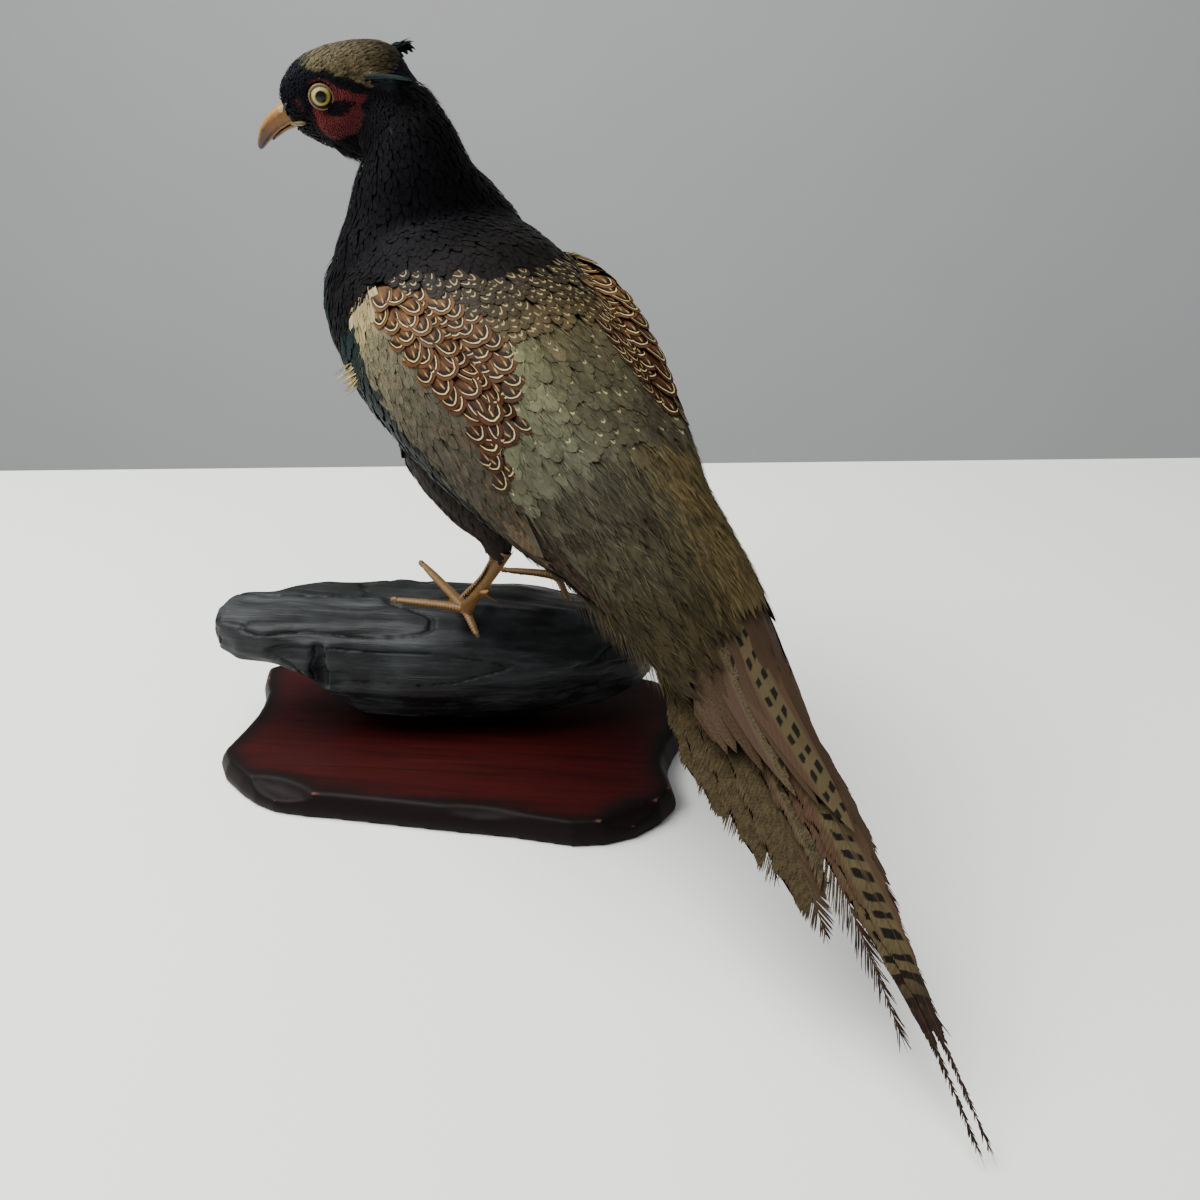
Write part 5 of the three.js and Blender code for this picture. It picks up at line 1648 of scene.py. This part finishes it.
def log_material():
    """Driftwood under satin black stain: grain ridges painted lighter grey as highlight, grooves and cracks
    painted near black as shade.
    """
    material, tree = finish_material("satin black stained driftwood")
    tone = node(tree, "Attribute", attribute_name="tone", out="Fac")
    place = node(tree, "TexCoord", out="Object")
    stretched = node(tree, "Mapping", {"Vector": place, "Scale": (cells(50), cells(4.35), cells(2.78))})
    grain = node(tree, "TexNoise", {"Vector": stretched, "Scale": 1.0, "Detail": 6.0,
                                    "Roughness": 0.65, "Distortion": 0.6})
    cloud = node(tree, "TexNoise", {"Vector": place, "Scale": cells(35.7), "Detail": 4.0})
    total = node(tree, "Math", grain, tone, operation="MULTIPLY")
    colour = node(tree, "ValToRGB", total,
                  stops=((0.08, "#0a0b0b"), (0.24, "#121314"), (0.4, "#212324"), (0.6, "#3a3d3f")))
    dusty = node(tree, "ValToRGB", cloud, stops=((0.5, 0.0), (0.72, 0.5)))
    colour = node(tree, "Mix", {0: dusty, 6: colour, 7: paint("#3a3e40")}, **COLOURS)
    rough = node(tree, "Math", cloud, 0.35, 0.28, operation="MULTIPLY_ADD")
    return surfaced(material, colour, rough, {"Specular IOR Level": 0.2}, (0.8, 0.001, grain))


def make_plaque(material):
    """A carved lacquered board: its worn edges are marked where the surface bends sharply."""
    mesh = remeshed(merged_copy(["stand_plaque"], 0.0), 0.0013)
    points, _, edges = arrays_of(mesh)
    points = relaxed(points * 1000, edges, 3)
    place_points(mesh, points * 0.001)
    normals = arrays_of(mesh)[1]
    soft = unit(relaxed(normals, edges, 3))
    proud = ((points - neighbour_mean(points, edges)) * soft).sum(1)
    worn = np.clip((relaxed(proud, edges, 1) - 0.05) / 0.12, 0, 1) * (points[:, 2] > 3)
    rim = np.flatnonzero((normals[:, 2] < 0.8) & (points[:, 2] > 5))[::6]
    gap = np.full(len(points), 99.0)
    for chunk in np.array_split(rim, 30):
        away = np.linalg.norm(points[:, None, :2] - points[chunk][None, :, :2], axis=2).min(1)
        gap = np.minimum(gap, away)
    dark = np.clip(1 - gap / 17, 0, 1)**1.4
    dark = np.maximum(dark, np.clip((0.93 - normals[:, 2]) / 0.2, 0, 1))
    add_values(mesh, "worn", worn)
    add_values(mesh, "tone", relaxed(dark, edges, 2))
    settle(link_mesh("lacquered_plaque", mesh), material, ("stand_plaque",))


def plaque_material():
    """Hardwood board under red-brown lacquer rubbed black to the rim, bare tan on sharp edges."""
    material, tree = finish_material("red-brown lacquered hardwood")
    dark = node(tree, "Attribute", attribute_name="tone", out="Fac")
    worn = node(tree, "Attribute", attribute_name="worn", out="Fac")
    place = node(tree, "TexCoord", out="Object")
    stretched = node(tree, "Mapping", {"Vector": place, "Scale": (cells(100), cells(4.76), cells(16.7))})
    grain = node(tree, "TexNoise", {"Vector": stretched, "Scale": 1.0, "Detail": 5.0,
                                    "Roughness": 0.6, "Distortion": 0.5})
    cloud = node(tree, "TexNoise", {"Vector": place, "Scale": cells(41.7), "Detail": 3.0})
    red = node(tree, "ValToRGB", grain, stops=((0.3, "#210908"), (0.52, "#2e0c0b"), (0.72, "#390f0e")))
    edge = node(tree, "Math", cloud, 0.5, -0.25, operation="MULTIPLY_ADD")
    edge = node(tree, "Math", dark, edge, operation="ADD", use_clamp=True)
    edge = node(tree, "ValToRGB", edge, stops=((0.12, 0.0), (0.75, 0.95)))
    colour = node(tree, "Mix", {0: edge, 6: red, 7: paint("#0e0b0a")}, **COLOURS)
    thin = node(tree, "Math", worn, cloud, operation="MULTIPLY")
    thin = node(tree, "ValToRGB", thin, stops=((0.2, 0.0), (0.42, 0.85)))
    colour = node(tree, "Mix", {0: thin, 6: colour, 7: paint("#8a5540")}, **COLOURS)
    return surfaced(material, colour, 0.5, {"Specular IOR Level": 0.07}, (0.12, 0.0003, grain))


for side, sign in SIDES.items():
    flight_feathers(side, sign)
make_tail()
for side, sign in SIDES.items():
    ear_tuft(side, sign)
HORN = horn_material("varnished bill horn", 0.4, 0.22, 2.0)
SCUTE = horn_material("dried varnished leg scutes", 0.45, 0.08, 2.38)
make_bill(HORN)
make_eyes(glass_eye_material(), eyelid_material())
papillae(wattle_material())
for side in SIDES:
    scutes(side, SCUTE)
    claws(side, SCUTE)
make_log(log_material())
make_plaque(plaque_material())


# ---- Camera, floor, wall and light --------------------------------------------------------------

def plain(name, code, rough):
    """A matt painted surface, faintly uneven."""
    material, tree = finish_material(name)
    place = node(tree, "TexCoord", out="Object")
    cloud = node(tree, "TexNoise", {"Vector": place, "Scale": cells(333), "Detail": 2.0})
    level = node(tree, "Math", cloud, 0.06, 0.97, operation="MULTIPLY_ADD")
    colour = node(tree, "VectorMath", {0: tuple(linear(code)), "Scale": level}, operation="SCALE")
    return surfaced(material, colour, rough, {})


CAMERA_AT = (0.14193, -0.62054, 0.405)
CAMERA_TURN = (math.radians(64), 0, math.radians(5.3))
ROOM_TURN = math.radians(7.1)


def set_stage():
    """The camera, the white table, the wall behind, and soft light from above."""
    camera = bpy.data.cameras.new("camera")
    camera.lens = 38.82
    camera.sensor_width = 36
    camera.clip_start = 0.01
    eye = bpy.data.objects.new("camera", camera)
    eye.location = CAMERA_AT
    eye.rotation_euler = CAMERA_TURN
    bpy.context.scene.collection.objects.link(eye)
    bpy.context.scene.camera = eye
    room = Matrix.Rotation(ROOM_TURN, 3, "Z")
    for name, size, place, turned, material in (
        ("floor", (6, 4.2, 1), (0.296, -1.598, 0), room, plain("white table top", "#f2f1ed", 0.55)),
        ("wall", (14, 7, 1), (-0.2, 2.4, 0.8), room @ Matrix.Rotation(math.radians(90), 3, "X"),
         plain("pale grey wall", "#bdbdbc", 0.9)),
    ):
        work = bmesh.new()
        bmesh.ops.create_grid(work, x_segments=2, y_segments=2, size=0.5)
        made = link_work(name, work)
        made.data.transform(Matrix.LocRotScale(Vector(place), turned, Vector(size)))
        made.data.materials.append(material)
    for name, place, aim, size, power in (
        ("ceiling light", (-0.75, -0.1, 1.7), (0, 0.05, 0.1), 1.6, 92),
        ("window light", (-1.5, -0.9, 0.9), (0, 0, 0.25), 1.2, 5),
    ):
        lamp = bpy.data.lights.new(name, "AREA")
        lamp.shape = "SQUARE"
        lamp.size = size
        lamp.energy = power
        made = bpy.data.objects.new(name, lamp)
        made.location = place
        made.rotation_euler = (Vector(aim) - Vector(place)).to_track_quat("-Z", "Y").to_euler()
        bpy.context.scene.collection.objects.link(made)
    world = bpy.data.worlds.new("room")
    world.use_nodes = True
    world.node_tree.nodes["Background"].inputs[0].default_value = paint("#dfe2e6")
    world.node_tree.nodes["Background"].inputs[1].default_value = 0.5
    bpy.context.scene.world = world


set_stage()
